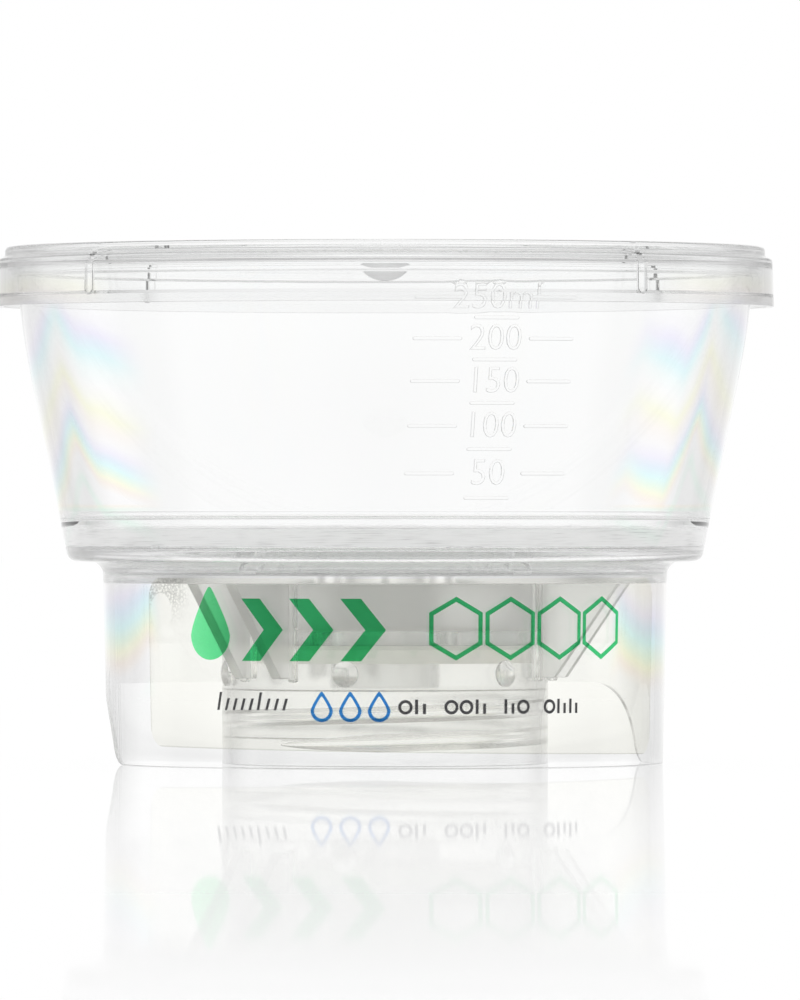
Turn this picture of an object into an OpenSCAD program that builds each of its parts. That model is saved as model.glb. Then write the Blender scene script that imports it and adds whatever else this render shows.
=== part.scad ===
// Bottle-top vacuum filter, 250 ml. A clear cup holds the liquid over a membrane. The base
// carries the cup, drains through a spout, and screws onto a GL45 bottle with its collar.
// The origin is on the bottle's axis, in the plane of the skirt's lower edge. +Z is up, the
// label faces -Y and the hose connector points along +Y. Angles round the part are measured
// from -Y towards +X.

/* [Cup] */
// Outer radius of the cup wall where it stands on the base
cup_foot_r = 47.05; // [45.5:0.05:49]
// Outer radius of the cup wall under its rim
cup_mouth_r = 54.15; // [51:0.05:56]
// Height of the cup, from the base to the top of its rim
cup_h = 40.9; // [30:0.1:60]
// How far the cup's side swells outside a straight taper
cup_bulge = 0.54; // [0:0.01:1]
// Wall thickness of the cup
cup_wall = 1.3; // [1:0.1:2]
// How far the rim flange stands out from the cup wall
rim_reach = 0.95; // [0.5:0.05:2]
// Thickness of the rim flange
rim_t = 1.6; // [1:0.1:2.5]

/* [Graduations] */
// Volume between two graduation lines, in millilitres
grad_step = 25; // [25:25:50]
// Volume at the top graduation line, in millilitres
grad_full = 250; // [150:50:250]
// Where the scale is, in degrees from the front towards the right
grad_angle = 17.5; // [-60:0.5:60]
// How far the lines stand out of the wall
grad_relief = 0.25; // [0.2:0.05:0.5]
// Thickness of a line
grad_line_t = 0.5; // [0.3:0.05:1]
// Length of the lines on each side of a number
grad_tick = 7; // [3:0.1:12]
// Length of the lines between two numbers
grad_dash = 6.8; // [3:0.1:12]
// Room left for a number, each side of its middle
grad_room = 5; // [3:0.1:10]

/* [Lid] */
// Gap between the cup's rim and the inside of the lid's skirt
lid_side_gap = 1; // [0.6:0.05:2]
// Height of the lid's skirt, from its lower edge to the shoulder
lid_skirt_h = 7.1; // [5:0.1:10]
// How far the raised ring on the lid stands in from the skirt
lid_ring_inset = 1.3; // [0.8:0.05:3]
// Height of the raised ring above the shoulder
lid_ring_h = 1.7; // [1:0.1:3]
// Width of the raised ring
lid_ring_w = 4.6; // [3.5:0.1:7]
// Wall thickness of the lid
lid_wall = 1.1; // [0.8:0.1:1.6]
// Depth of the lid's middle panel below the top of the ring
panel_drop = 2.2; // [1:0.1:4]
// Gap that the vent ribs keep between the lid and the cup's rim
vent_gap = 0.3; // [0.2:0.05:1]
// Width of a vent rib
vent_rib_w = 1.6; // [1:0.1:3]
// Length of a vent rib down the inside of the skirt
vent_rib_h = 4.8; // [3:0.1:6]
// Number of vent ribs
vent_count = 4; // [3:1:8]
// Where the first vent rib is, in degrees
vent_angle = 41; // [0:1:89]
// Thickness of the lands inside the skirt, between the vent ribs
land_t = 0.3; // [0.2:0.05:0.4]
// Height of the lands
land_h = 4.7; // [3:0.1:5.5]
// Gap between a land and a vent rib
land_gap = 1.2; // [0.6:0.1:3]
// Radius of the gate dimple at the middle of the panel
dimple_r = 3.65; // [2:0.05:6]
// Depth of the gate dimple under the panel
dimple_h = 1.6; // [0.5:0.1:2.5]

/* [Base] */
// Height of the tray flange's underside above the skirt's lower edge
flange_z = 29.7; // [26:0.1:40]
// Thickness of the tray flange
flange_t = 2.2; // [1.5:0.1:4]
// Depth of the tray's pan below the flange's underside
pan_drop = 3; // [1:0.1:6]
// Thickness of the pan's floor at its edge
pan_t = 2; // [1.5:0.1:3]
// Fall of the pan's floor from its edge to the drain
pan_fall = 0.6; // [0.2:0.1:1]
// Height of the upstand inside the cup, above the flange
upstand_h = 4.4; // [3:0.1:8]
// Wall thickness of the upstand
upstand_t = 1.2; // [0.8:0.1:2]
// How far the skirt's top stands in from the foot of the cup
skirt_inset = 5.55; // [5:0.05:8]
// How much wider the skirt is at its top
skirt_draft = 0.6; // [0:0.05:1.5]
// Wall thickness of the skirt
skirt_wall = 1.5; // [1:0.1:2.5]
// Radius of the fillet between the skirt and the flange
skirt_fillet = 2; // [0.5:0.1:2.5]
// Height of the cut-out in the back of the skirt
cutout_h = 11.6; // [6:0.1:14]
// Radius at the upper corners of the cut-out
cutout_corner_r = 16; // [12:0.5:20]
// Radius of the skirt's feet, at the lower corners of the cut-out
cutout_foot_r = 5; // [1:0.5:6]
// Where the cut-out starts, in degrees
cutout_from = 106; // [95:0.5:150]
// Where the cut-out ends, in degrees
cutout_to = 286; // [200:0.5:300]

/* [Collar] */
// Radius inside the collar where the bottle's thread goes
thread_r = 22.6; // [22:0.05:24]
// Thickness of the collar's wall round the thread
collar_wall = 1.4; // [1:0.1:3]
// Length of the threaded stretch
thread_h = 7; // [5:0.1:9]
// How much wider than the thread the plain lead-in below it is
lead_in_step = 0.3; // [0.1:0.05:0.5]
// How much narrower than the thread the gasket's pocket above it is
pocket_step = 0.4; // [0.1:0.05:2]
// Depth of the pocket
pocket_h = 6.6; // [5:0.1:8]
// Thickness of the collar's closed top
collar_top_t = 2.2; // [1.5:0.1:3]
// Height of the air chamber between the collar's closed top and the pan
chamber_h = 6.9; // [5:0.1:9]
// Outer radius of the drain spout
spout_r = 8; // [5:0.1:10]
// Wall thickness of the drain spout
spout_wall = 1.5; // [1:0.1:2.5]
// How far above the pocket's foot the drain spout ends
spout_recess = 0.2; // [0.1:0.1:3]
// Radius of the holes that draw air out of the bottle
vacuum_hole_r = 1.6; // [1:0.1:2.4]
// Number of those holes
vacuum_holes = 6; // [3:1:8]
// Radius of a stud on the collar
stud_r = 1.9; // [1:0.1:3]
// Height of the studs above the skirt's lower edge
stud_z = 13.4; // [5:0.1:16]
// Where the first stud is, in degrees
stud_angle = -13.7; // [-30:0.1:30]
// Number of studs
stud_count = 6; // [3:1:8]

/* [Gussets] */
// Where the first pair of gussets is, in degrees
gusset_angle = -44; // [-60:1:-30]
// Number of pairs
gusset_pairs = 3; // [2:1:4]
// Distance between the two plates of a pair, centre to centre
gusset_pitch = 7.65; // [5:0.05:10]
// Thickness of a plate
gusset_t = 2; // [1:0.1:3]
// Gap between the plates and the skirt, under the tray
gusset_inset = 4; // [2:0.1:9]
// How far the plates' lower end stands out from the collar
gusset_foot_w = 2.5; // [1:0.1:5]
// Height of the plates' lower end above the skirt's lower edge
gusset_foot_z = 12.7; // [8:0.1:20]

/* [Membrane] */
// Thickness of the membrane
membrane_t = 0.3; // [0.2:0.05:0.6]
// Height of the support rings above the flange
support_h = 3.1; // [1:0.1:3.6]
// Distance from one support ring to the next
support_pitch = 5.6; // [4:0.1:8]
// Thickness of a support ring
support_ring_t = 1; // [0.8:0.1:1.6]
// Number of drain channels across the rings
drain_channels = 3; // [2:1:4]
// Width of a drain channel
drain_channel_w = 3; // [2:0.1:4]

/* [Vacuum port] */
// How far the port's axis is below the underside of the pan
port_drop = 3.7; // [3.5:0.1:4.2]
// Width of the port's boss
boss_w = 12.3; // [10:0.1:16]
// Radius of the air duct in the boss
duct_r = 2.5; // [1.5:0.1:2.6]
// Radius of the socket that takes the hose connector
socket_r = 3.5; // [3:0.05:3.8]
// Depth of the socket
socket_h = 7; // [4:0.1:10]
// Radius over the barbs of the hose connector
barb_r = 4.1; // [3.6:0.05:5]
// Radius of the stem between the barbs
barb_stem_r = 3.2; // [2.6:0.05:3.4]
// Distance from one barb to the next
barb_pitch = 3.6; // [3:0.1:4.5]
// Number of barbs
barb_count = 3; // [2:1:3]
// Radius of the connector's bore
connector_bore_r = 1.9; // [1.2:0.05:2.2]
// Length of the fibre plug in the duct
plug_h = 6; // [3:0.1:8]

/* [Label] */
// Where the label starts, in degrees
label_from = -55; // [-80:0.5:-20]
// Where the label ends, in degrees
label_to = 67.4; // [20:0.1:80]
// Height of the label's lower edge above the skirt's lower edge
label_z = 3.6; // [1:0.1:5]
// Gap between the label's upper edge and the fillet above it
label_margin = 0.3; // [0.1:0.1:12]
// Radius of the label's corners
label_corner_r = 3; // [1:0.1:5]
// Thickness of the label
label_t = 0.15; // [0.1:0.01:0.3]

/* [Fits] */
// Gap between the cup's wall and the upstand inside it
weld_gap = 0.15; // [0.05:0.05:0.4]
// Gap between the membrane's edge and the upstand
membrane_gap = 0.3; // [0.1:0.1:1]
// Gap between the lid's ribs and the edge of the cup's rim
lid_gap = 0.2; // [0.15:0.05:0.5]
// Gap between the gasket's edge and its pocket
gasket_gap = 0.3; // [0.1:0.1:0.5]
// Thickness of the gasket
gasket_t = 2.7; // [1.5:0.1:3]
// Width of the gasket's flat ring, which covers the bottle's lip
gasket_w = 4.4; // [3:0.1:6]
// Gap between the label and the skirt, filled by its glue
label_gap = 0.05; // [0:0.01:0.1]

/* [Hidden] */
$fn = 144;

bite = 0.5;        // how deep one form of a moulding runs into the next, so that they fuse
through = 1;       // how far a cut runs past the face that it opens
hair = 0.02;       // how far curves cross that would else only touch

clear_ps = [0.9, 0.93, 0.95, 0.35];
clear_film = [0.93, 0.93, 0.88, 0.5];

// Heights of the stack, all above the skirt's lower edge
seam_z = flange_z + flange_t;
rim_z = seam_z + cup_h;
pan_z = flange_z - pan_drop;
membrane_z = seam_z + support_h;
collar_top_z = pan_z - chamber_h - collar_top_t;
pocket_z = collar_top_z - pocket_h;
thread_z = pocket_z - thread_h;
port_z = pan_z - port_drop;
label_h = flange_z - skirt_fillet - label_z - label_margin;

// Radii of the collar, from the thread's outwards and inwards
collar_r = thread_r + collar_wall;
lead_in_r = thread_r + lead_in_step;
pocket_r = thread_r - pocket_step;

// A point at an angle round the part and a distance from its axis
function heading(angle) = angle - 90;

// Points along an arc from one angle to another, in degrees
function arc(x, y, r, from, to, steps = 8) =
    [for (i = [0:steps]) let (a = from + (to - from) * i / steps) [x + r * cos(a), y + r * sin(a)]];

// Outer radius of the cup wall at a height: a straight taper with a swelling in its upper half
cup_wall_top_z = rim_z - rim_t;
function cup_r(z) = let (t = (z - seam_z) / (cup_wall_top_z - seam_z))
    cup_foot_r + (cup_mouth_r - cup_foot_r) * t + cup_bulge * sin(180 * min(t, 1) * min(t, 1));
cup_steps = 14;
cup_heights = [for (i = [0:cup_steps]) seam_z + (cup_wall_top_z - seam_z) * i / cup_steps];
rim_r = cup_mouth_r + rim_reach;
lid_r = rim_r + lid_side_gap + lid_wall;
lid_ring_r = lid_r - lid_ring_inset;

// Volume held up to a height, in millilitres, summed in thin slices from the membrane up
slice = 0.5;
floor_z = membrane_z + membrane_t;
function slice_ml(z) = PI * pow(cup_r(z) - cup_wall, 2) * slice / 1000;
function level_z(ml, z = floor_z) =
    ml <= slice_ml(z) ? z + slice * ml / slice_ml(z) : level_z(ml - slice_ml(z), z + slice);

// Outer radius of the skirt at a height
skirt_r = cup_foot_r - skirt_inset - skirt_draft;
function skirt_out(z) = skirt_r + skirt_draft * z / flange_z;

// The upstand fits inside the foot of the cup
upstand_r = cup_foot_r - cup_wall - weld_gap;
membrane_r = upstand_r - upstand_t - membrane_gap;

module lid() {
    shoulder_z = rim_z + vent_gap + lid_wall;
    skirt_z = shoulder_z - lid_skirt_h;
    ring_z = shoulder_z + lid_ring_h;
    panel_z = ring_z - panel_drop;
    in_r = lid_r - lid_wall;
    ring_in_r = lid_ring_r - lid_ring_w;
    round_r = 0.6;
    rib_r = rim_r + lid_gap;
    color(clear_ps) {
        rotate_extrude() polygon(concat(
            [[0, panel_z], [ring_in_r - round_r, panel_z]],
            arc(ring_in_r + round_r, ring_z - round_r, round_r, 180, 90),
            arc(lid_ring_r - round_r, ring_z - round_r, round_r, 90, 0),
            [[lid_ring_r, shoulder_z + 0.3]],
            arc(lid_r - 0.2 - round_r, shoulder_z - round_r, round_r, 90, 0),
            [[lid_r, skirt_z], [in_r, skirt_z], [in_r - 0.2, shoulder_z - lid_wall],
             [lid_ring_r - lid_wall, shoulder_z - lid_wall], [lid_ring_r - lid_wall, ring_z - lid_wall],
             [ring_in_r + lid_wall, ring_z - lid_wall], [ring_in_r + lid_wall, panel_z - lid_wall],
             [0, panel_z - lid_wall]]));
        for (i = [0:vent_count - 1]) rotate([0, 0, heading(vent_angle + 360 * i / vent_count)])
            vent_rib(rib_r, in_r, shoulder_z - lid_wall);
        translate([0, 0, panel_z - lid_wall]) gate_dimple();
        lands(in_r, shoulder_z - lid_wall);
    }
}

// Thicker arcs of the skirt that centre the lid round the cup's rim
module lands(in_r, top_z) {
    beside = vent_rib_w / 2 + land_gap;
    land_r = in_r - 0.2 - land_t;
    difference() {
        rotate_extrude() polygon([[in_r + bite, top_z + bite], [land_r, top_z + bite],
            [land_r, top_z - land_h], [in_r + bite, top_z - land_h]]);
        for (i = [0:vent_count - 1]) rotate([0, 0, heading(vent_angle + 360 * i / vent_count)])
            translate([0, -beside, top_z - land_h - through]) cube([lid_r, 2 * beside, land_h + through]);
    }
}

// A rib down the inside of the lid's skirt, with a foot that rests on the cup's rim
module vent_rib(from_r, to_r, top_z) {
    translate([from_r, -vent_rib_w / 2, top_z - vent_rib_h + vent_rib_w / 2])
        cube([to_r - from_r + bite, vent_rib_w, vent_rib_h - vent_rib_w / 2 + bite]);
    translate([from_r, 0, top_z - vent_rib_h + vent_rib_w / 2]) rotate([0, 90, 0])
        cylinder(r = vent_rib_w / 2, h = to_r - from_r + bite, $fn = 32);
    translate([rim_r - 2, -vent_rib_w / 2, top_z - vent_gap])
        cube([to_r - rim_r + 2 + bite, vent_rib_w, vent_gap + bite]);
}

// The bulge under the lid's panel, opposite the place where the lid was filled
module gate_dimple() {
    ball_r = (dimple_r * dimple_r + dimple_h * dimple_h) / (2 * dimple_h);
    intersection() {
        translate([0, 0, ball_r - dimple_h]) sphere(r = ball_r, $fn = 64);
        translate([0, 0, -dimple_h - through]) cylinder(r = dimple_r + through, h = dimple_h + through + bite);
    }
}

module funnel_cup() {
    color(clear_ps) {
        rotate_extrude() polygon(concat(
            [for (z = cup_heights) [cup_r(z), z]],
            [[rim_r, cup_wall_top_z + 0.2], [rim_r, rim_z - 0.2], [rim_r - 0.2, rim_z],
             [cup_mouth_r - cup_wall, rim_z]],
            [for (i = [cup_steps:-1:0]) [cup_r(cup_heights[i]) - cup_wall, cup_heights[i]]]));
        graduations();
    }
}

// Raised lines: one each side of every second step's number, and a short one between
module graduations() {
    top_z = cup_wall_top_z - grad_line_t;
    for (ml = [grad_step:grad_step:grad_full]) if (level_z(ml) < top_z) {
        if (ml % (2 * grad_step) == 0) {
            graduation(level_z(ml), grad_room, grad_tick);
            graduation(level_z(ml), -grad_room - grad_tick, grad_tick);
        } else graduation(level_z(ml), -grad_dash / 2, grad_dash);
    }
}

// One line on the wall, from a distance beside the middle of the scale
module graduation(z, beside, length) {
    degrees_per_mm = 180 / PI / cup_r(z);
    low = z - grad_line_t / 2;
    high = z + grad_line_t / 2;
    root = cup_wall / 2;
    rotate([0, 0, heading(grad_angle) + beside * degrees_per_mm])
        rotate_extrude(angle = length * degrees_per_mm)
            polygon([[cup_r(low) - root, low], [cup_r(low) + grad_relief, low],
                [cup_r(high) + grad_relief, high], [cup_r(high) - root, high]]);
}

module membrane() {
    color("white") translate([0, 0, membrane_z]) cylinder(r = membrane_r, h = membrane_t);
}

module base_housing() {
    color(clear_ps) difference() {
        union() {
            tray();
            skirt();
            collar();
            gussets();
            support();
            port_boss();
        }
        drain_hole();
        vacuum_duct();
    }
}

// Flange, pan and upstand in one revolve
module tray() {
    pan_r = skirt_out(flange_z) - skirt_wall;
    lip_r = upstand_r - upstand_t;
    fillet_z = flange_z - skirt_fillet;
    edge_r = 1.5;
    rotate_extrude() polygon(concat(
        [[0, pan_z], [skirt_out(pan_z) - bite, pan_z]],
        arc(skirt_out(fillet_z) + skirt_fillet, fillet_z, skirt_fillet, 180, 90),
        arc(cup_foot_r - 0.2 - edge_r, flange_z + edge_r, edge_r, 270, 360),
        [[cup_foot_r, seam_z], [upstand_r, seam_z], [upstand_r, seam_z + upstand_h],
         [lip_r, seam_z + upstand_h], [lip_r, seam_z], [pan_r + 1, seam_z],
         [pan_r - 1, pan_z + pan_t], [0, pan_z + pan_t - pan_fall]]));
}

module skirt() {
    top_z = flange_z - skirt_fillet;
    difference() {
        rotate_extrude() polygon([[skirt_out(0), 0], [skirt_out(top_z), top_z],
            [skirt_out(top_z) - skirt_wall, top_z], [skirt_out(0) - skirt_wall, 0]]);
        cutout();
    }
}

// The opening in the back of the skirt, a wide arch with rounded upper corners
module cutout() {
    reach = skirt_r + skirt_draft + through;
    half_corner = sqrt(pow(cutout_corner_r, 2) - pow(cutout_corner_r - cutout_h, 2));
    inset = asin(half_corner / skirt_r);
    translate([0, 0, -through]) rotate([0, 0, heading(cutout_from + inset)])
        rotate_extrude(angle = cutout_to - cutout_from - 2 * inset)
            translate([skirt_r - skirt_wall - through, 0])
                square([skirt_wall + 3 * through, cutout_h - hair + through]);
    for (a = [cutout_from + inset, cutout_to - inset])
        rotate([0, 0, heading(a)]) translate([0, 0, cutout_h - cutout_corner_r]) rotate([0, 90, 0])
            cylinder(r = cutout_corner_r, h = reach);
    rotate([0, 0, heading(cutout_from + inset)]) cutout_foot(reach);
    rotate([0, 0, heading(cutout_to - inset)]) mirror([0, 1, 0]) cutout_foot(reach);
}

// What is cut from a foot of the skirt, so that an arc runs from the floor to the corner's curve.
// The arc crosses both by a hair, since curves that only touch leave no clean edge.
module cutout_foot(reach) {
    apart = cutout_corner_r + cutout_foot_r - hair;
    foot_z = cutout_foot_r - hair;
    rise = foot_z + cutout_corner_r - cutout_h;
    across = sqrt(pow(apart, 2) - pow(rise, 2));
    translate([reach / 2, 0, 0]) rotate([90, 0, 90]) linear_extrude(reach / 2) difference() {
        translate([-across, -through]) square([across, foot_z - rise * cutout_foot_r / apart + through]);
        translate([-across, foot_z]) circle(r = cutout_foot_r);
    }
}

module collar() {
    rotate_extrude() polygon([
        [collar_r, 0], [collar_r, pan_z + bite], [pocket_r, pan_z + bite],
        [pocket_r, collar_top_z + collar_top_t], [spout_r, collar_top_z + collar_top_t],
        [spout_r, pan_z + bite], [0, pan_z + bite], [0, pocket_z + spout_recess],
        [spout_r, pocket_z + spout_recess], [spout_r, collar_top_z], [pocket_r, collar_top_z],
        [pocket_r, pocket_z], [thread_r, pocket_z], [thread_r, thread_z], [lead_in_r, thread_z],
        [lead_in_r, 0]]);
    for (i = [0:stud_count - 1]) rotate([0, 0, heading(stud_angle + 360 * i / stud_count)])
        translate([collar_r - bite, 0, stud_z]) stud();
}

// A round stud with a domed end
module stud() {
    rise = 0.9;
    rotate([0, 90, 0]) intersection() {
        cylinder(r = stud_r, h = rise + bite, $fn = 48);
        translate([0, 0, rise + bite - 2.4 * stud_r]) sphere(r = 2.4 * stud_r, $fn = 64);
    }
}

// Pairs of plates that hang under the pan and hold the collar
module gussets() {
    top_r = skirt_out(pan_z) - skirt_wall - gusset_inset;
    for (i = [0:gusset_pairs - 1], side = [-1, 1])
        rotate([0, 0, heading(gusset_angle + 360 * i / gusset_pairs)])
            translate([0, side * gusset_pitch / 2 + gusset_t / 2, 0]) rotate([90, 0, 0])
                linear_extrude(gusset_t) polygon([[collar_r - bite, gusset_foot_z],
                    [collar_r + gusset_foot_w, gusset_foot_z], [top_r, pan_z], [top_r, pan_z + bite],
                    [collar_r - bite, pan_z + bite]]);
}

// Rings in the pan that the membrane lies on. Channels cross all but the outermost, which
// seals the membrane's edge, and lead to the drain.
module support() {
    outer_r = membrane_r - support_ring_t;
    rings = floor((outer_r - spout_r - 1) / support_pitch);
    difference() {
        rotate_extrude() for (i = [0:rings]) support_ring(outer_r - i * support_pitch);
        for (i = [0:drain_channels - 1]) rotate([0, 0, 180 * i / drain_channels])
            translate([-outer_r, -drain_channel_w / 2, pan_z]) cube([2 * outer_r, drain_channel_w, flange_z]);
    }
}

// Section of a ring, which stands in the pan or, past its edge, on the flange
module support_ring(r) {
    pan_edge_r = skirt_out(flange_z) - skirt_wall - 1;
    foot_z = r + support_ring_t < pan_edge_r ? pan_z + pan_t - pan_fall - bite : seam_z - bite;
    translate([r, foot_z]) square([support_ring_t, membrane_z - foot_z]);
}

// Block between the collar and the skirt that carries the air duct
boss_end_y = skirt_r + skirt_draft + 1;
module port_boss() {
    foot_z = port_z - 5;
    corner_r = 1.5;
    translate([0, boss_end_y, 0]) rotate([90, 0, 0]) linear_extrude(boss_end_y - pocket_r - bite) {
        translate([-boss_w / 2, foot_z + corner_r]) square([boss_w, pan_z - foot_z - corner_r + bite]);
        translate([-boss_w / 2 + corner_r, foot_z]) square([boss_w - 2 * corner_r, corner_r + bite]);
        for (side = [-1, 1]) translate([side * (boss_w / 2 - corner_r), foot_z + corner_r]) circle(r = corner_r);
    }
}

module drain_hole() {
    translate([0, 0, pocket_z + spout_recess - through])
        cylinder(r = spout_r - spout_wall, h = pan_z + pan_t - pocket_z - spout_recess + 2 * through);
    for (i = [0:vacuum_holes - 1]) rotate([0, 0, heading(360 * (i + 0.5) / vacuum_holes)])
        translate([(spout_r + pocket_r) / 2, 0, collar_top_z - through])
            cylinder(r = vacuum_hole_r, h = collar_top_t + 2 * through, $fn = 48);
}

// From the chamber over the collar's top, out through the boss
module vacuum_duct() {
    translate([0, boss_end_y + through, port_z]) rotate([90, 0, 0]) {
        cylinder(r = socket_r, h = socket_h + through);
        cylinder(r = duct_r, h = boss_end_y + through - spout_r - 2);
    }
}

module neck_gasket() {
    color("gainsboro") translate([0, 0, collar_top_z - gasket_t]) difference() {
        cylinder(r = pocket_r - gasket_gap, h = gasket_t);
        translate([0, 0, -through])
            cylinder(r = pocket_r - gasket_gap - gasket_w, h = gasket_t + 2 * through);
    }
}

// Spigot, flange, stem and barbs, turned about the port's axis
module hose_connector() {
    flange_w = 1.5;
    land = 0.8;
    start = flange_w + 1.6;
    tip = start + barb_count * barb_pitch;
    color("whitesmoke") translate([0, boss_end_y, port_z]) rotate([-90, 0, 0]) difference() {
        union() {
            translate([0, 0, -socket_h]) cylinder(r = socket_r, h = socket_h + bite);
            cylinder(r = boss_w / 2 - 0.8, h = flange_w);
            cylinder(r = barb_stem_r, h = tip);
            for (i = [0:barb_count - 1]) translate([0, 0, start + i * barb_pitch]) {
                cylinder(r = barb_r, h = land);
                translate([0, 0, land]) cylinder(r1 = barb_r, r2 = barb_stem_r, h = barb_pitch - land);
            }
        }
        translate([0, 0, -socket_h - through])
            cylinder(r = connector_bore_r, h = socket_h + tip + 2 * through);
    }
}

module port_filter() {
    color("white") translate([0, boss_end_y - socket_h, port_z]) rotate([90, 0, 0])
        cylinder(r = duct_r, h = plug_h);
}

module label() {
    low_r = skirt_out(label_z) + label_gap;
    high_r = skirt_out(label_z + label_h) + label_gap;
    color(clear_film) difference() {
        rotate([0, 0, heading(label_from)]) rotate_extrude(angle = label_to - label_from)
            polygon([[low_r, label_z], [low_r + label_t, label_z],
                [high_r + label_t, label_z + label_h], [high_r, label_z + label_h]]);
        for (low = [0, 1], left = [0, 1])
            rotate([0, 0, heading(left ? label_from : label_to)])
                translate([0, 0, low ? label_z : label_z + label_h])
                    mirror([0, 1 - left, 0]) mirror([0, 0, 1 - low]) label_corner();
    }
}

// What is cut from a corner of the label, to leave it round
module label_corner() {
    spare = 0.5;
    translate([skirt_r - through, 0, 0]) rotate([90, 0, 90]) linear_extrude(skirt_draft + 3 * through)
        difference() {
            translate([-spare, -spare]) square(label_corner_r + spare);
            translate([label_corner_r, label_corner_r]) circle(r = label_corner_r, $fn = 64);
        }
}

lid();
funnel_cup();
membrane();
base_housing();
neck_gasket();
hose_connector();
port_filter();
label();
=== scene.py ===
# %% [markdown]
# # A bottle-top vacuum filter in clear plastic
#
# The real object is a disposable laboratory filter. A lidded cup of clear polystyrene stands
# on a one-piece base, and the base screws onto a bottle. Nearly everything is see-through, so
# its looks come from three things: smooth walls of true thickness, a bright room whose darker
# parts the walls bend into view, and a few moulding marks.
#
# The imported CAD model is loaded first. Every piece below is placed from its boxes.

# %% Load the frame
import math
import random

import bmesh
import bpy
from mathutils import Matrix, Vector


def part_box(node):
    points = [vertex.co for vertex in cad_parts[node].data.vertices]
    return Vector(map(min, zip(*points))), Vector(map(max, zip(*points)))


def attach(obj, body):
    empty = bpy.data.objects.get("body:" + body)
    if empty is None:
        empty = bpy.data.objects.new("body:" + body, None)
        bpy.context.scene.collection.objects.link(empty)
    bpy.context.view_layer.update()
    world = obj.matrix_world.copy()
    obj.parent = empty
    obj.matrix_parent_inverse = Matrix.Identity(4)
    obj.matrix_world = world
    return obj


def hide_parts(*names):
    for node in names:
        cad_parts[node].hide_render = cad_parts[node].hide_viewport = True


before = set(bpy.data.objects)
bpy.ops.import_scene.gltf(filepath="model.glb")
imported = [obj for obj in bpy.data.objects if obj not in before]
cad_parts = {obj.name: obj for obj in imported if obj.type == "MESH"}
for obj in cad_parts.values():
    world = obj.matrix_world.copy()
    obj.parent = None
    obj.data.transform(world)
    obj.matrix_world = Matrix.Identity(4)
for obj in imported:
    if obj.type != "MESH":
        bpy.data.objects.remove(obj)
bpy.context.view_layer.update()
MM = 0.001

# %% [markdown]
# ## The camera
#
# The object is seen level with the middle of its cup, from a good way off through a long lens,
# so that circles close up into nearly straight lines. The camera stands a little to the right
# of the object's axis, which puts the object left of the middle of the frame.

# %% Camera
CAMERA_DISTANCE = 1.794
CAMERA_LENS = 439
SENSOR_WIDTH = 36
EYE_LEVEL = 38.7 * MM
CAMERA_SIDESTEP = 2.2 * MM
scene = bpy.context.scene


def add_object(name, data):
    made = bpy.data.objects.new(name, data)
    scene.collection.objects.link(made)
    return made


camera_data = bpy.data.cameras.new("camera")
camera_data.lens = CAMERA_LENS
camera_data.sensor_width = SENSOR_WIDTH
camera_data.clip_start = 0.05
camera_data.clip_end = 20
camera = add_object("camera", camera_data)
camera.location = (CAMERA_SIDESTEP, -CAMERA_DISTANCE, EYE_LEVEL)
camera.rotation_euler = (math.radians(90), 0, 0)
scene.camera = camera
print("camera at", [round(c, 4) for c in camera.location], "lens", CAMERA_LENS)

# %% [markdown]
# ## Wires between nodes
#
# A material is a handful of nodes. What a node puts out is held here as a wire. A sum written
# with wires adds a maths node for each of its signs, so that a formula reads as a formula.


# %% Wires
def rgba(tone):
    """A colour's four numbers, from its first three or from one grey."""
    return (*tone, 1) if isinstance(tone, tuple) else (tone, tone, tone, 1)


class Wire:
    """What a node puts out, ready to be linked or put into a sum."""

    def __init__(self, tree, socket):
        self.tree = tree
        self.socket = socket

    def maths(self, operation, *others, clamp=False):
        return maths(self.tree, operation, self, *others, clamp=clamp)

    def __add__(self, other):
        return self.maths("ADD", other)

    def __sub__(self, other):
        return self.maths("SUBTRACT", other)

    def __rsub__(self, other):
        return maths(self.tree, "SUBTRACT", other, self)

    def __mul__(self, other):
        return self.maths("MULTIPLY", other)

    def __truediv__(self, other):
        return self.maths("DIVIDE", other)

    def __pow__(self, other):
        return self.maths("POWER", other)


def set_inputs(tree, node, values):
    """Links each input to a wire, or sets it to a number or a tone."""
    for key, value in values.items():
        socket = node.inputs[key]
        if isinstance(value, Wire):
            tree.links.new(value.socket, socket)
        else:
            socket.default_value = rgba(value) if socket.type == "RGBA" else value


def add_node(tree, kind, inputs=None, **settings):
    made = tree.nodes.new("ShaderNode" + kind)
    for key, value in settings.items():
        setattr(made, key, value)
    set_inputs(tree, made, inputs or {})
    return made


def wire(tree, kind, inputs=None, output=0, **settings):
    """Adds a node and gives one of its outputs."""
    return Wire(tree, add_node(tree, kind, inputs, **settings).outputs[output])


def maths(tree, operation, *values, clamp=False):
    return wire(tree, "Math", dict(enumerate(values)), operation=operation, use_clamp=clamp)


print("wires can be added, taken away, multiplied, divided and raised to a power")

# %% [markdown]
# ## Small helpers for materials
#
# The same few nodes come back in every recipe: a place and its three parts, a ramp of tones, a
# mix of two colours or two shaders, and a test of what kind of ray has arrived.


# %% Material helpers
def place_in(tree, source="Object"):
    return wire(tree, "TexCoord", output=source)


def axes(place):
    """The X, Y and Z of a place."""
    parts = add_node(place.tree, "SeparateXYZ", {0: place}).outputs
    return [Wire(place.tree, socket) for socket in parts]


def length(place):
    return wire(place.tree, "VectorMath", {0: place}, "Value", operation="LENGTH")


def from_axis(x, y):
    """How far a place is from the upright axis."""
    return length(wire(x.tree, "CombineXYZ", {"X": x, "Y": y}))


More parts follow.
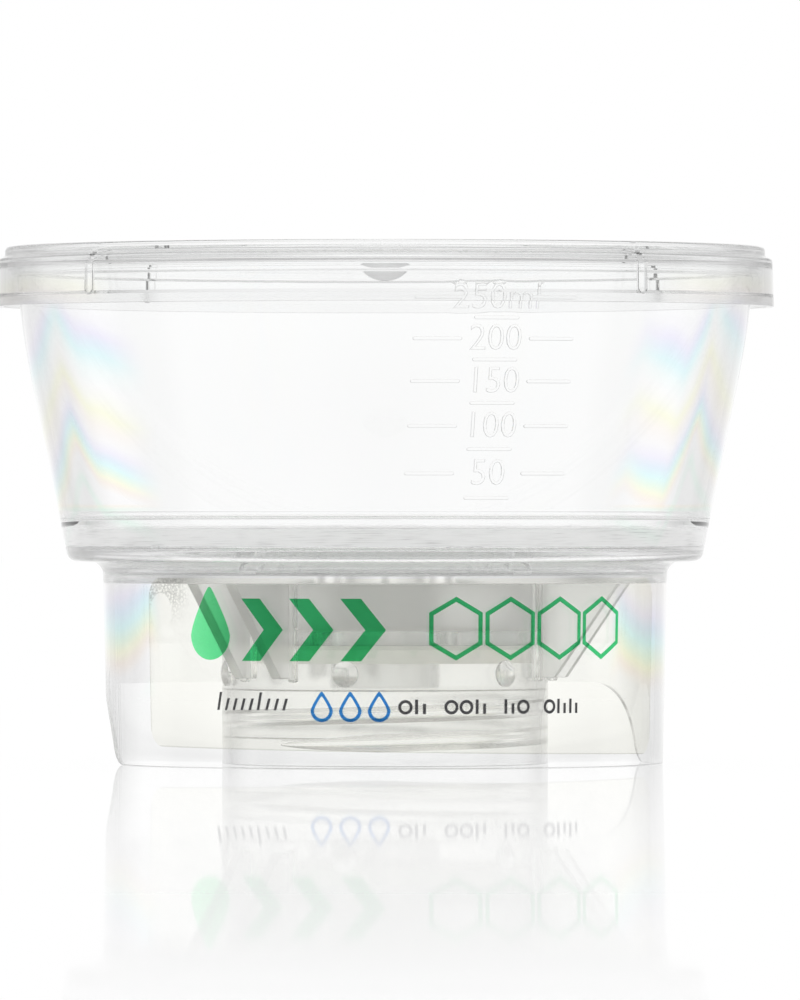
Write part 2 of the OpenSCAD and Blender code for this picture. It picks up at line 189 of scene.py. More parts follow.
def ramp(factor, stops, span=1, interpolation="LINEAR"):
    """Tones along a factor. The places of the stops are counted in parts of the span."""
    made = add_node(factor.tree, "ValToRGB", {0: factor})
    made.color_ramp.interpolation = interpolation
    elements = made.color_ramp.elements
    while len(elements) > 1:
        elements.remove(elements[-1])
    elements[0].position = stops[0][0] / span
    elements[0].color = rgba(stops[0][1])
    for position, tone in stops[1:]:
        elements.new(position / span).color = rgba(tone)
    return Wire(factor.tree, made.outputs[0])


def mix(tree, share, first, second, blend_type="MIX"):
    inputs = {"Factor": share, "A": first, "B": second}
    return wire(tree, "Mix", inputs, "Result", data_type="RGBA", blend_type=blend_type)


def mix_shaders(share, first, second):
    return wire(first.tree, "MixShader", {0: share, 1: first, 2: second})


def eased(value, low, high):
    """0 at the low value and 1 at the high one, with a smooth change between them."""
    inputs = {"Value": value, "From Min": low, "From Max": high}
    return wire(value.tree, "MapRange", inputs, "Result", interpolation_type="SMOOTHSTEP")


def noise(place, scale, detail, roughness=0.5):
    inputs = {"Vector": place, "Scale": scale, "Detail": detail, "Roughness": roughness}
    return wire(place.tree, "TexNoise", inputs, "Fac")


def is_ray(tree, *kinds):
    """1 for a ray that is of one of two kinds, or of the only one given."""
    path = add_node(tree, "LightPath").outputs
    found = [Wire(tree, path[f"Is {kind} Ray"]) for kind in kinds]
    return found[0] if len(found) == 1 else found[0].maths("MAXIMUM", found[1])


def new_material(name, inputs):
    """A material, its tree and its main shader, with some of the shader's inputs set."""
    material = bpy.data.materials.new(name)
    material.use_nodes = True
    tree = material.node_tree
    shader = tree.nodes["Principled BSDF"]
    set_inputs(tree, shader, inputs)
    return material, tree, shader


print("helpers for materials are ready")

# %% [markdown]
# ## The room
#
# Clear plastic shows only what it bends and mirrors. In an all-white room it would vanish, so
# the room is white straight ahead, where the flat middles of the walls look, and darker to the
# sides, where their curved ends look. It is darkest in a strip that the edges bend into view,
# and a little greyer overhead. The camera itself sees plain white behind the object, and matt
# surfaces are lit by even white.

# %% World
# Degrees from straight ahead, or up from eye level, and how bright the room is there
SIDEWAYS = [(0, 1), (4, 1), (9, 0.88), (14, 0.76), (26, 0.7), (38, 0.45), (50, 0.6), (60, 1), (74, 1),
            (84, 0.62), (96, 0.62), (108, 0.9), (150, 0.9), (180, 0.8)]
UPWARD = [(0, 1), (12, 1), (34, 0.72), (90, 0.62)]


def aside(x, y):
    """The angle from straight ahead to either side, as a share of a half turn."""
    return x.maths("ARCTAN2", y).maths("ABSOLUTE") / math.pi


scene.world = bpy.data.worlds.new("room")
scene.world.use_nodes = True
tree = scene.world.node_tree
tree.nodes.clear()
x, y, z = axes(place_in(tree, "Generated"))
sideways = ramp(aside(x, y), SIDEWAYS, 180, "EASE")
upward = ramp(z.maths("ARCSINE") / (math.pi / 2), UPWARD, 90, "EASE")
surroundings = mix(tree, 1, upward, sideways, "MULTIPLY")
seen = mix(tree, is_ray(tree, "Glossy", "Transmission"), 1, surroundings)
add_node(tree, "OutputWorld", {"Surface": wire(tree, "Background", {"Color": seen})})
print("room with", len(SIDEWAYS), "steps of brightness round it")

# %% [markdown]
# ### How far light is followed
#
# A ray crosses a dozen thick walls and is mirrored inside many of them. If it were given up
# too early, the walls would turn black there, so the limits on its steps are high.

# %% Bounces
scene.view_settings.view_transform = "Standard"
scene.cycles.max_bounces = 72
scene.cycles.transmission_bounces = 64
scene.cycles.glossy_bounces = 64
scene.cycles.transparent_max_bounces = 32
print("light is followed for", scene.cycles.max_bounces, "steps")

# %% [markdown]
# ## The table
#
# The table is white gloss. It mirrors the object strongly where it stands and less and less
# towards the viewer, as a polished white sheet does in a studio. Light that the clear walls
# bend aside meets its dimmer sides.

# %% Table
FLOOR_REACH = 6.0
# Degrees from straight ahead, and how bright the table is there through clear plastic
TABLE_TONES = [(0, 1), (4, 1), (9, 0.9), (14, 0.78), (26, 0.72), (50, 0.8), (80, 1), (180, 1)]
# Metres from the object, and the share of light that is mirrored there
MIRROR = [(0, 0.55), (0.06, 0.5), (0.35, 0.28), (1, 0.05)]
SHADOW_SHARE = 0.08


def new_mesh_object(name, shape):
    mesh = bpy.data.meshes.new(name)
    shape.to_mesh(mesh)
    shape.free()
    return add_object(name, mesh)


def table_material():
    material, tree, _ = new_material("white_gloss_table", {})
    tree.nodes.clear()
    place = place_in(tree)
    x, y, _ = axes(place)
    tones = ramp(aside(x, y), TABLE_TONES, 180, "EASE")
    white = wire(tree, "Emission", {"Color": mix(tree, is_ray(tree, "Transmission"), 1, tones)})
    matt = wire(tree, "BsdfDiffuse", {"Color": 1})
    gloss = wire(tree, "BsdfGlossy", {"Color": 1, "Roughness": 0.02})
    plain = mix_shaders(SHADOW_SHARE, white, matt)
    polished = mix_shaders(ramp(length(place), MIRROR), plain, gloss)
    add_node(tree, "OutputMaterial", {"Surface": polished})
    return material


table_shape = bmesh.new()
bmesh.ops.create_circle(table_shape, cap_ends=True, segments=64, radius=FLOOR_REACH)
table = new_mesh_object("table", table_shape)
table.data.materials.append(table_material())
print("table of", FLOOR_REACH, "m radius")

# %% [markdown]
# ## Stress colours
#
# Moulded polystyrene keeps some stress, which tints the light that comes through. The tints
# follow one another like the colours of an oil film: cyan, yellow, orange, grey, violet, blue.
# On each wall they run in bands that crowd together towards the foot and sink away on both
# sides of a peak. They lie in the half of the part with the label, where the plastic was filled
# in. One node group makes them for every clear piece, from heights and angles.

# %% The bands and how they sink
# Height above the foot of the cup in mm, where the bands peak, and the wall's tint there
TINTS = [(0, (0.97, 0.97, 0.97)), (3.2, (0.97, 0.97, 0.97)), (4.8, (0.85, 0.98, 0.91)),
         (6.4, (0.98, 0.975, 0.98)), (8.5, (0.99, 0.98, 0.985)), (9.9, (1, 0.92, 0.85)),
         (11, (1, 1, 0.79)), (12, (0.86, 1, 0.86)), (13.2, (0.75, 0.99, 1)), (14.5, (0.78, 0.89, 1)),
         (15.7, (0.91, 0.89, 1)), (17.2, (0.985, 0.97, 0.985)), (19.2, (1, 0.955, 0.91)),
         (21.2, (1, 1, 0.79)), (23, (1, 1, 0.94)), (24.6, (1, 1, 0.995)), (26.8, (0.93, 1, 0.995)),
         (29, (0.76, 0.97, 1)), (30.6, (0.80, 0.89, 1)), (32, (0.88, 0.86, 1)),
         (34, (0.97, 0.96, 0.995)), (37, (0.99, 0.99, 0.995))]
# Share of the narrow rim at the foot, and its tint
FOOT_TINTS = [(0, (1, 1, 1)), (0.2, (0.9, 0.99, 0.93)), (0.5, (0.95, 0.99, 0.93)), (0.7, (1, 0.96, 0.88)),
              (1, (1, 1, 1))]
# Sine of the angle round the part, and how far the bands sink: 1 is 20 mm, and 0.2 is no sinking
SINK_LEFT = [(0.60, 0.70), (0.675, 0.67), (0.77, 0.57), (0.85, 0.48), (0.875, 0.36), (0.90, 0.20),
             (0.92, 0.27), (0.945, 0.45), (1, 0.7)]
SINK_RIGHT = [(0.60, 0.66), (0.66, 0.63), (0.715, 0.48), (0.75, 0.54), (0.80, 0.59), (0.84, 0.64),
              (0.875, 0.38), (0.90, 0.04), (0.93, 0.22), (0.97, 0.38), (1, 0.5)]
SINK_PEAK = 0.9
NO_SINKING = 0.2
PLAIN_TINT = (0.994, 0.996, 0.995)
FOOT_RIM = 1.2 * MM
WOBBLE = 4 * MM
UNEVEN_SCALE = 70
# Depth from front to back in metres over which the bands fade out towards the back
BACK, FRONT = 0.014, -0.012
print(len(TINTS), "tints over", TINTS[-1][0], "mm")

# %% [markdown]
# ### The group
#
# The group's inputs say where a wall's bands start, how high they reach, between which angles
# and heights they show, and how far from the axis. It puts out one colour.

# %% The stress group
STRESS_INPUTS = {"Foot": 37 * MM, "Span": 37 * MM, "Strength": 1, "Begins": 0.65, "Full": 0.79,
                 "Fades Below": 0, "Fades Above": 1, "Peak": 0.9, "Sinking": 20 * MM, "Beyond": 0, "Lean": 0}


def new_group(name, inputs, outputs):
    """A node group with number inputs. Gives the group, its inputs as wires, and its output node."""
    group = bpy.data.node_groups.new(name, "ShaderNodeTree")
    for key, value in inputs.items():
        made = group.interface.new_socket(name=key, in_out="INPUT", socket_type="NodeSocketFloat")
        made.default_value = value
    for key, kind in outputs.items():
        group.interface.new_socket(name=key, in_out="OUTPUT", socket_type=kind)
    sockets = group.nodes.new("NodeGroupInput").outputs
    given = {key: Wire(group, sockets[key]) for key in inputs}
    return group, given, group.nodes.new("NodeGroupOutput")


def stress_group():
    """The tint of a wall by its height and by the angle round the part."""
    group, given, result = new_group("stress_colours", STRESS_INPUTS, {"Colour": "NodeSocketColor"})
    place = place_in(group)
    x, y, z = axes(place)
    sine = x.maths("ARCTAN2", y * -1).maths("SINE")
    side = sine.maths("ABSOLUTE")
    scaled = (side / given["Peak"]).maths("MULTIPLY", SINK_PEAK, clamp=True)
    on_right = sine.maths("GREATER_THAN", 0)
    sunk = mix(group, on_right, ramp(scaled, SINK_LEFT), ramp(scaled, SINK_RIGHT))
    uneven = noise(place, UNEVEN_SCALE, 1) - 0.5
    above = z + x * given["Lean"] - given["Foot"]
    level = above + ((sunk - NO_SINKING) * given["Sinking"] + uneven * WOBBLE)
    bands = ramp(level / given["Span"], TINTS, TINTS[-1][0])
    tint = mix(group, 1, bands, ramp(above / FOOT_RIM, FOOT_TINTS), "MULTIPLY")
    strength = eased(side, given["Begins"], given["Full"]) * given["Strength"]
    strength = strength * eased(z, given["Fades Below"] - 6 * MM, given["Fades Below"])
    strength = strength * (1 - eased(z, given["Fades Above"] - 4 * MM, given["Fades Above"]))
    strength = strength * from_axis(x, y).maths("GREATER_THAN", given["Beyond"])
    strength = strength.maths("MULTIPLY", eased(y, BACK, FRONT), clamp=True)
    set_inputs(group, result, {"Colour": mix(group, strength, PLAIN_TINT, tint)})
    return group


stress_colours = stress_group()
print("group", stress_colours.name, "with", len(stress_colours.nodes), "nodes")

# %% [markdown]
# ## Clear polystyrene
#
# Polystyrene bends light more than window glass does: its index is 1.59. Where the mould was
# not polished, the plastic is matt and greys what lies behind, so each such zone of radius and
# height has its own roughness. Some zones are also darkened towards black: that is painted
# shade. Light for matt things inside comes straight through the walls.

# %% Clear polystyrene
PS_INDEX = 1.59
STRAIGHT_THROUGH = 0.996
# Radius from and to, height from and to, roughness, and how far the colour is darkened as painted shade
LID_MATT_AND_SHADE = [(0, 3.9, 60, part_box("lid")[1].z / MM - 3.32, 0.6, 0.3),
            (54, 60, 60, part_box("lid")[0].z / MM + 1.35, 0.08, 0.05)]
BASE_MATT_AND_SHADE = [(0, 24.3, 19.6, 26.9, 0.32, 0.04), (0, 24.3, 16.9, 19.6, 0.2, 0.13),
             (0, 23.3, -1, 16.9, 0.13, 0.07), (0, 42.5, 26.65, 35.5, 0.1, 0),
             (25.2, 38.5, 12.5, 26.65, 0.3, 0)]


def between(value, low, high):
    return value.maths("GREATER_THAN", low * MM) * value.maths("LESS_THAN", high * MM)


def matt_zones_in(tree, zones):
    """Roughness and painted shade inside the zones, else none."""
    x, y, z = axes(place_in(tree))
    radius = from_axis(x, y)
    roughness = painted_shade = 0
    for inner, outer, low, top, rough, shade_share in zones:
        inside = between(radius, inner, outer) * between(z, low, top)
        roughness = (inside * rough).maths("MAXIMUM", roughness)
        painted_shade = (inside * shade_share).maths("MAXIMUM", painted_shade)
    return roughness, painted_shade


def clear_plastic(name, stress_settings, matt_and_shade_zones=()):
    settings = {"Roughness": 0, "IOR": PS_INDEX, "Transmission Weight": 1}
    material, tree, shader = new_material(name, settings)
    colour = wire(tree, "Group", stress_settings, "Colour", node_tree=stress_colours)
    if matt_and_shade_zones:
        roughness, painted_shade = matt_zones_in(tree, matt_and_shade_zones)
        set_inputs(tree, shader, {"Roughness": roughness})
        # Painted shade: the zones darken the colour towards black.
        colour = mix(tree, painted_shade, colour, 0)
    set_inputs(tree, shader, {"Base Color": colour})
    passing = wire(tree, "BsdfTransparent", {0: STRAIGHT_THROUGH})
    either = mix_shaders(is_ray(tree, "Shadow", "Diffuse"), Wire(tree, shader.outputs[0]), passing)
    set_inputs(tree, tree.nodes["Material Output"], {"Surface": either})
    return material


clear_cup = clear_plastic("clear_polystyrene_cup", {"Strength": 0.9, "Fades Above": 68.5 * MM})
LID_STRESS = {"Foot": 50.5 * MM, "Strength": 0.6, "Begins": 0.68, "Full": 0.82, "Fades Above": 72.5 * MM,
              "Sinking": 4 * MM, "Beyond": 54 * MM}
clear_lid = clear_plastic("clear_polystyrene_lid", LID_STRESS, LID_MATT_AND_SHADE)
BASE_STRESS = {"Foot": 0.9 * MM, "Span": 59 * MM, "Lean": 0.055, "Beyond": 38 * MM, "Begins": 0.79,
               "Full": 0.85, "Fades Below": 15 * MM, "Fades Above": 28.5 * MM, "Peak": 0.83,
               "Sinking": 8 * MM}
clear_base = clear_plastic("clear_polystyrene_base", BASE_STRESS, BASE_MATT_AND_SHADE)
print("clear plastic with", len(LID_MATT_AND_SHADE), "matt zones in the lid and", len(BASE_MATT_AND_SHADE), "in the base")

# %% [markdown]
# ## Turned shapes
#
# The lid, the cup and most of the base are round, so each starts as an outline in the plane of
# radius and height. A vertex bevel rounds the outline's corners, and a spin turns it about the
# bottle's axis.

# %% Turning an outline
TURN_STEPS = 288
MERGE = 1e-7
SHARP_CORNER = 30


def bevelled(shape, geom, offset, segments, affect="EDGES"):
    bmesh.ops.bevel(shape, geom=geom, offset=offset * MM, offset_type="OFFSET", segments=segments,
                    profile=0.5, affect=affect, clamp_overlap=True, material=-1)


def spun(shape, geom, steps):
    bmesh.ops.spin(shape, geom=geom, axis=(0, 0, 1), cent=(0, 0, 0), angle=math.tau, steps=steps,
                   use_merge=True, use_duplicate=False)


def turned(outline, rounding, round_steps=3, steps=TURN_STEPS):
    """A closed solid, turned from points of radius and height in millimetres."""
    shape = bmesh.new()
    corners = [shape.verts.new((r * MM, 0, z * MM)) for r, z in outline]
    shape.faces.new(corners)
    sharp = []
    for before, here, after in zip(corners[-1:] + corners[:-1], corners, corners[1:] + corners[:1]):
        turn = (here.co - before.co).angle(after.co - here.co, 0)
        if here.co.x > MERGE and turn > math.radians(SHARP_CORNER):
            sharp.append(here)
    bevelled(shape, sharp, rounding, round_steps, "VERTICES")
    bmesh.ops.delete(shape, geom=shape.faces[:], context="FACES_ONLY")
    spun(shape, shape.verts[:] + shape.edges[:], steps)
    bmesh.ops.remove_doubles(shape, verts=shape.verts[:], dist=MERGE)
    bmesh.ops.dissolve_degenerate(shape, dist=MERGE, edges=shape.edges[:])
    bmesh.ops.recalc_face_normals(shape, faces=shape.faces[:])
    return shape


def arc(r, z, radius, start, end, steps=8):
    """Points round a centre in an outline, for its larger roundings."""
    angles = [math.radians(start + (end - start) * i / steps) for i in range(steps + 1)]
    return [(r + radius * math.cos(a), z + radius * math.sin(a)) for a in angles]


print("outlines are turned in", TURN_STEPS, "steps")

# %% [markdown]
# ## Straight shapes
#
# Plates, blocks and bars are flat faces that are drawn out, or a row of sections joined up.
# Directions round the part are angles from the front towards the right.


# %% Prisms, rods and bars
def heading(angle):
    """Turns the +X direction to an angle round the part, measured from -Y towards +X."""
    return Matrix.Rotation(math.radians(angle - 90), 4, "Z")


def on_circle(radius, angle, z):
    turn = math.radians(angle)
    return (radius * math.sin(turn) * MM, -radius * math.cos(turn) * MM, z * MM)


def rotated(shape, verts, matrix):
    bmesh.ops.rotate(shape, verts=verts, cent=(0, 0, 0), matrix=matrix)


def drawn_out(shape, corners, vec):
    """A prism: a face of the corners, drawn out along a vector. Gives the far corners."""
    made = bmesh.ops.extrude_face_region(shape, geom=[shape.faces.new(corners)])["geom"]
    far = [v for v in made if isinstance(v, bmesh.types.BMVert)]
    bmesh.ops.translate(shape, verts=far, vec=vec)
    return far


def plate(shape, outline, half, angle, shift=0.0, rounding=0.0):
    """Adds a plate: an outline of radius and height, spread sideways by half its thickness."""
    low = [shape.verts.new((x * MM, (shift - half) * MM, z * MM)) for x, z in outline]
    verts = low + drawn_out(shape, low, (0, 2 * half * MM, 0))
    rotated(shape, verts, heading(angle))
    if rounding:
        bevelled(shape, list({e for v in verts for e in v.link_edges}), rounding, 2)


def rod(shape, radius, length, place, along="Z", segments=48, end_rounding=0.0):
    """Adds a cylinder that starts at a place and runs up, or with Y straight back."""
    made = bmesh.ops.create_cone(shape, cap_ends=True, segments=segments, radius1=radius * MM,
                                 radius2=radius * MM, depth=length * MM)["verts"]
    bmesh.ops.translate(shape, verts=made, vec=(0, 0, length / 2 * MM))
    if along == "Y":
        rotated(shape, made, Matrix.Rotation(-math.pi / 2, 4, "X"))
    bmesh.ops.translate(shape, verts=made, vec=[c * MM for c in place])
    if end_rounding:
        rims = [e for e in {e for v in made for e in v.link_edges} if e.calc_face_angle(0) > 1]
        bevelled(shape, rims, end_rounding, 3)


def band(shape, one, two):
    """Adds the faces between two closed rows of as many corners."""
    for corners in zip(one, one[1:] + one[:1], two[1:] + two[:1], two):
        shape.faces.new(corners)


def swept(shape, rows):
    """Adds a bar from rows of points, each row one of its sections, and closes both ends."""
    rings = [[shape.verts.new(point) for point in row] for row in rows]
    for one, two in zip(rings, rings[1:]):
        band(shape, one, two)
    shape.faces.new(rings[0])
    shape.faces.new(rings[-1])


print("helpers for plates, rods and bars are ready")

# %% [markdown]
# ## Joining into mouldings
#
# The shapes of one moulding are joined, or cut from one another, with Boolean modifiers, and
# the result is kept as one mesh. Where faces meet at less than the sharp angle they are shaded
# as one smooth surface. In clear plastic that also decides how light bends, so a chamfer that
# should stay crisp needs a smaller sharp angle.


# %% Joining shapes and making pieces
def combined(start, steps):
    """Adds to and cuts from a starting shape, step by step, and gives the result as a bmesh."""
    bodies = []
    for name, shape in [("work_start", start)] + [(f"work_{i}", step[1]) for i, step in enumerate(steps)]:
        bmesh.ops.recalc_face_normals(shape, faces=shape.faces[:])
        bodies.append(new_mesh_object(name, shape))
    for tool, (operation, _) in zip(bodies[1:], steps):
        modifier = bodies[0].modifiers.new(tool.name, "BOOLEAN")
        modifier.operation = operation
        modifier.solver = "MANIFOLD"
        modifier.object = tool
    graph = bpy.context.evaluated_depsgraph_get()
    result = bmesh.new()
    result.from_mesh(bodies[0].evaluated_get(graph).to_mesh())
    for made in bodies:
        mesh = made.data
        bpy.data.objects.remove(made)
        bpy.data.meshes.remove(mesh)
    bmesh.ops.remove_doubles(result, verts=result.verts[:], dist=2 * MERGE)
    bmesh.ops.dissolve_degenerate(result, dist=2 * MERGE, edges=result.edges[:])
    open_edges = sum(1 for e in result.edges if len(e.link_faces) != 2)
    print("  joined", len(steps), "shapes:", len(result.faces), "faces,", open_edges, "open edges")
    return result


def piece(name, shape, material, body, sharp_angle=32):
    """Makes a smooth object of a bmesh, with its finish, on its body."""
    for face in shape.faces:
        face.smooth = True
    for edge in shape.edges:
        edge.smooth = len(edge.link_faces) == 2 and edge.calc_face_angle(0) < math.radians(sharp_angle)
    made = new_mesh_object(name, shape)
    made.data.materials.append(material)
    made.modifiers.new("weighted normals", "WEIGHTED_NORMAL").keep_sharp = True
    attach(made, body)
    print(name, "has", len(made.data.polygons), "faces")
    return made


# %% [markdown]
# ## The cup
#
# The cup's side is a straight taper that swells a little in its upper half. Its wall is an
# even 1.3 mm, and the top has a small flange. The flange's underside leans in as the wall does,
# because two walls at an angle would bend the light like a prism.

# %% The cup's outline
cup_low, cup_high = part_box("funnel_cup")
SEAM_Z = cup_low.z / MM
RIM_Z = cup_high.z / MM
RIM_R = cup_high.y / MM
CUP_WALL = 1.3
CUP_FOOT_R = 47.05
CUP_MOUTH_R = RIM_R - 0.95
CUP_SWELL = 0.54
FLANGE_T = 1.6
FLANGE_LIP = 0.35
FLANGE_FILLET = 0.25
CUP_ROWS = 28
MEMBRANE_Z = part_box("membrane")[1].z / MM
UPSTAND_R = CUP_FOOT_R - CUP_WALL - 0.15
UPSTAND_T = 1.2
UPSTAND_TOP = SEAM_Z + 4.4
SEAM_GAP = 0.03


def cup_radius(z):
    up = (z - SEAM_Z) / (RIM_Z - FLANGE_T - SEAM_Z)
    swell = CUP_SWELL * math.sin(math.pi * min(up, 1) ** 2)
    return CUP_FOOT_R + (CUP_MOUTH_R - CUP_FOOT_R) * up + swell


def cup_outline():
    """The cup's section. Its foot is welded to the upstand inside it, so they are one here."""
    heights = [SEAM_Z + (RIM_Z - FLANGE_T - SEAM_Z) * i / CUP_ROWS for i in range(CUP_ROWS + 1)]
    neck = heights[-1]
    outside = [(cup_radius(z), z + (SEAM_GAP if z == SEAM_Z else 0)) for z in heights[:-1]]
    fillet = arc(CUP_MOUTH_R + FLANGE_FILLET, neck + 0.1, FLANGE_FILLET, 180, 90)
    lean = (CUP_MOUTH_R - cup_radius(heights[-2])) / (neck - heights[-2]) * FLANGE_T
    rim = [(RIM_R - lean * 0.8, neck + FLANGE_LIP), (RIM_R, RIM_Z), (CUP_MOUTH_R + lean - CUP_WALL, RIM_Z)]
    inside = [(cup_radius(z) - CUP_WALL, z) for z in reversed(heights) if z > UPSTAND_TOP + 0.3]
    foot = [(cup_radius(UPSTAND_TOP) - CUP_WALL, UPSTAND_TOP), (UPSTAND_R - UPSTAND_T, UPSTAND_TOP),
            (UPSTAND_R - UPSTAND_T, SEAM_Z + SEAM_GAP)]
    return outside + fillet + rim + inside + foot


print("cup outline has", len(cup_outline()), "points")

# %% [markdown]
# ### The volume scale
#
# The graduations stand at true heights: thin slices are added up from the membrane until each
# volume is reached. Lines and numbers are raised a tenth of a millimetre, with sloping sides
# that catch the light. They are made flat, cut into strips and bent round the wall.

# %% The volume scale
SCALE_ANGLE = 17.5
RELIEF = 0.11
SLOPE = 0.1
ROOT = 0.3
SLICE = 0.1
LINE_T = 0.56
LONG_LINE = 7.2
SHORT_LINE = 6.8
LINE_OFFSET = 8.6
NUMBER_SIZE = 5.4


def level_height(millilitres):
    z = MEMBRANE_Z
    held = 0.0
    while held < millilitres:
        held += math.pi * (cup_radius(z) - CUP_WALL) ** 2 * SLICE / 1000
        z += SLICE
    return z


def wrap_on_cup(shape):
    """Bends a flat shape (sideways in X, height in Z, relief in -Y) round the cup's wall."""
    for vert in shape.verts:
        z = vert.co.z / MM
        angle = SCALE_ANGLE + math.degrees(vert.co.x / MM / cup_radius(z))
        vert.co = on_circle(cup_radius(z) - vert.co.y / MM, angle, z)


def raised_line(shape, centre_x, z, width):
    """A line of the scale, its ends rounded and its sides sloping."""
    rows = []
    for depth, inset in ((ROOT + 0.1, 0), (SLOPE - RELIEF, 0), (-RELIEF, SLOPE)):
        half = LINE_T / 2 - inset
        ends = arc(centre_x + (width - LINE_T) / 2, z, half, -90, 90, 6) \
            + arc(centre_x - (width - LINE_T) / 2, z, half, 90, 270, 6)
        rows.append([(x * MM, depth * MM, up * MM) for x, up in ends])
    swept(shape, rows)


def raised_text(words, z):
    """Numerals with sloping sides, before they are bent round the wall."""
    curve = bpy.data.curves.new("numerals", "FONT")
    curve.body = words
    curve.size = NUMBER_SIZE * MM
    curve.align_x = "CENTER"
    curve.align_y = "CENTER"
    curve.resolution_u = 3
    curve.extrude = ROOT * MM
    curve.bevel_depth = SLOPE * MM
    curve.bevel_resolution = 0
    curve.offset = -SLOPE * MM
    made = add_object("numerals", curve)
    graph = bpy.context.evaluated_depsgraph_get()
    shape = bmesh.new()
    shape.from_mesh(made.evaluated_get(graph).to_mesh())
    bpy.data.objects.remove(made)
    bpy.data.curves.remove(curve)
    bmesh.ops.remove_doubles(shape, verts=shape.verts[:], dist=10 * MERGE)
    for vert in shape.verts:
        vert.co = (vert.co.x, (ROOT + SLOPE - RELIEF) * MM - vert.co.z, vert.co.y + z * MM)
    bmesh.ops.recalc_face_normals(shape, faces=shape.faces[:])
    print("  numerals", words, "with", sum(1 for e in shape.edges if len(e.link_faces) != 2), "open edges")
    return shape


def cut_across(shape, spacing, start, reach):
    """Cuts flat shapes into strips, so that they can follow the wall's curve."""
    for step in range(-reach, reach + 1):
        geom = shape.verts[:] + shape.edges[:] + shape.faces[:]
        bmesh.ops.bisect_plane(shape, geom=geom, dist=MERGE, plane_co=((step + start) * spacing * MM, 0, 0),
                               plane_no=(1, 0, 0))


def scale_shapes():
    """The lines of the scale in one shape, and each number in one of its own."""
    lines = bmesh.new()
    shapes = [lines]
    for volume in range(25, 251, 25):
        z = level_height(volume)
        if volume % 50:
            raised_line(lines, 0, z, SHORT_LINE)
            continue
        for side in (-1, 1):
            raised_line(lines, side * LINE_OFFSET, z, LONG_LINE)
        shapes.append(raised_text(f"{volume}ml" if volume == 250 else str(volume), z))
    for shape in shapes:
        cut_across(shape, 0.9, 0.37, 22)
        wrap_on_cup(shape)
    return shapes


cup_shape = combined(turned(cup_outline(), 0.25), [("UNION", shape) for shape in scale_shapes()])
cup = piece("cup", cup_shape, clear_cup, "base")
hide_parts("funnel_cup")

# %% [markdown]
# ## The lid
#
# The lid has an even wall that steps up from its skirt to a raised ring and down again to the
# middle panel. The upper part of its skirt is a little thicker, to centre it on the cup. The
# whole section is one outline, so its roundings stay even round the part.

# %% The lid's outline
lid_low, lid_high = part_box("lid")
LID_FOOT = lid_low.z / MM
LID_WALL = 1.1
LID_R = lid_high.x / MM
LID_TOP = lid_high.z / MM
SHOULDER_Z = LID_TOP - 1.7
RING_R = LID_R - 1.3
RING_IN_R = RING_R - LID_WALL
RING_UNDER = LID_TOP - LID_WALL
PANEL_R = RING_R - 4.6
PANEL_Z = LID_TOP - 2.2
PANEL_UNDER = PANEL_Z - LID_WALL
LID_UNDER = SHOULDER_Z - LID_WALL
LID_IN_R = LID_R - LID_WALL
LAND_H = 4.7
LAND_T = 0.22
LAND_CHAMFER = 0.45
LID_DRAFT = 0.03
LID_EDGE_INSET = 0.2
RING_ROUND = 0.7
STEP_ROUND = 0.6
INNER_ROUND = 0.5
FINE_ROUND = 0.3


def lid_inside(z, thicker=0):
    return LID_IN_R - LID_DRAFT * (z - LID_FOOT) - thicker, z


def lid_outline():
    land_foot = LID_UNDER - LAND_H
    panel_in_r = PANEL_R + LID_WALL
    top = [(0, PANEL_Z)] + arc(PANEL_R - INNER_ROUND, PANEL_Z + INNER_ROUND, INNER_ROUND, 270, 360, 5) \
        + arc(PANEL_R + RING_ROUND, LID_TOP - RING_ROUND, RING_ROUND, 180, 90, 6) \
        + arc(RING_R - RING_ROUND, LID_TOP - RING_ROUND, RING_ROUND, 90, 0, 6) \
        + arc(RING_R + STEP_ROUND, SHOULDER_Z + STEP_ROUND, STEP_ROUND, 180, 250, 5) \
        + arc(LID_R - LID_EDGE_INSET - STEP_ROUND, SHOULDER_Z - STEP_ROUND, STEP_ROUND, 90, 2, 6)
    skirt = [(LID_R, LID_FOOT), lid_inside(LID_FOOT), lid_inside(land_foot),
             lid_inside(land_foot + LAND_CHAMFER, LAND_T), lid_inside(LID_UNDER - INNER_ROUND, LAND_T)]
    land_top_r = lid_inside(LID_UNDER, LAND_T)[0]
    under = arc(land_top_r - INNER_ROUND, LID_UNDER - INNER_ROUND, INNER_ROUND, 10, 90, 5) \
        + arc(RING_IN_R + FINE_ROUND, LID_UNDER + FINE_ROUND, FINE_ROUND, 270, 180, 4) \
        + arc(RING_IN_R - INNER_ROUND, RING_UNDER - INNER_ROUND, INNER_ROUND, 0, 90, 5) \
        + arc(panel_in_r + INNER_ROUND, RING_UNDER - INNER_ROUND, INNER_ROUND, 90, 180, 5) \
        + arc(panel_in_r - STEP_ROUND, PANEL_UNDER + STEP_ROUND, STEP_ROUND, 0, -90, 6)
    return top + skirt + under + [(0, PANEL_UNDER)]


print("lid outline has", len(lid_outline()), "points")

# %% [markdown]
# ### What stands inside the lid
#
# Four ribs inside the skirt hold the lid off the cup's rim, so that air can pass. Each runs on
# across the shoulder and up inside the ring. A shallow matt dimple hangs under the middle of
# the panel, where the plastic was let into the mould.

# %% Vent ribs and dimple
RIB_COUNT = 4
RIB_ANGLE = 41
RIB_W = 1.9
RIB_H = 4.8
RIB_CORNER = 0.55
RIB_GAP = 0.2
LOW_RIB_HALF = 0.5
DIMPLE_R = 3.65
DIMPLE_DEPTH = 1.75
# How far one shape reaches into the next where they are joined
BITE = 0.3


def rib_angles():
    return [RIB_ANGLE + 360 / RIB_COUNT * i for i in range(RIB_COUNT)]


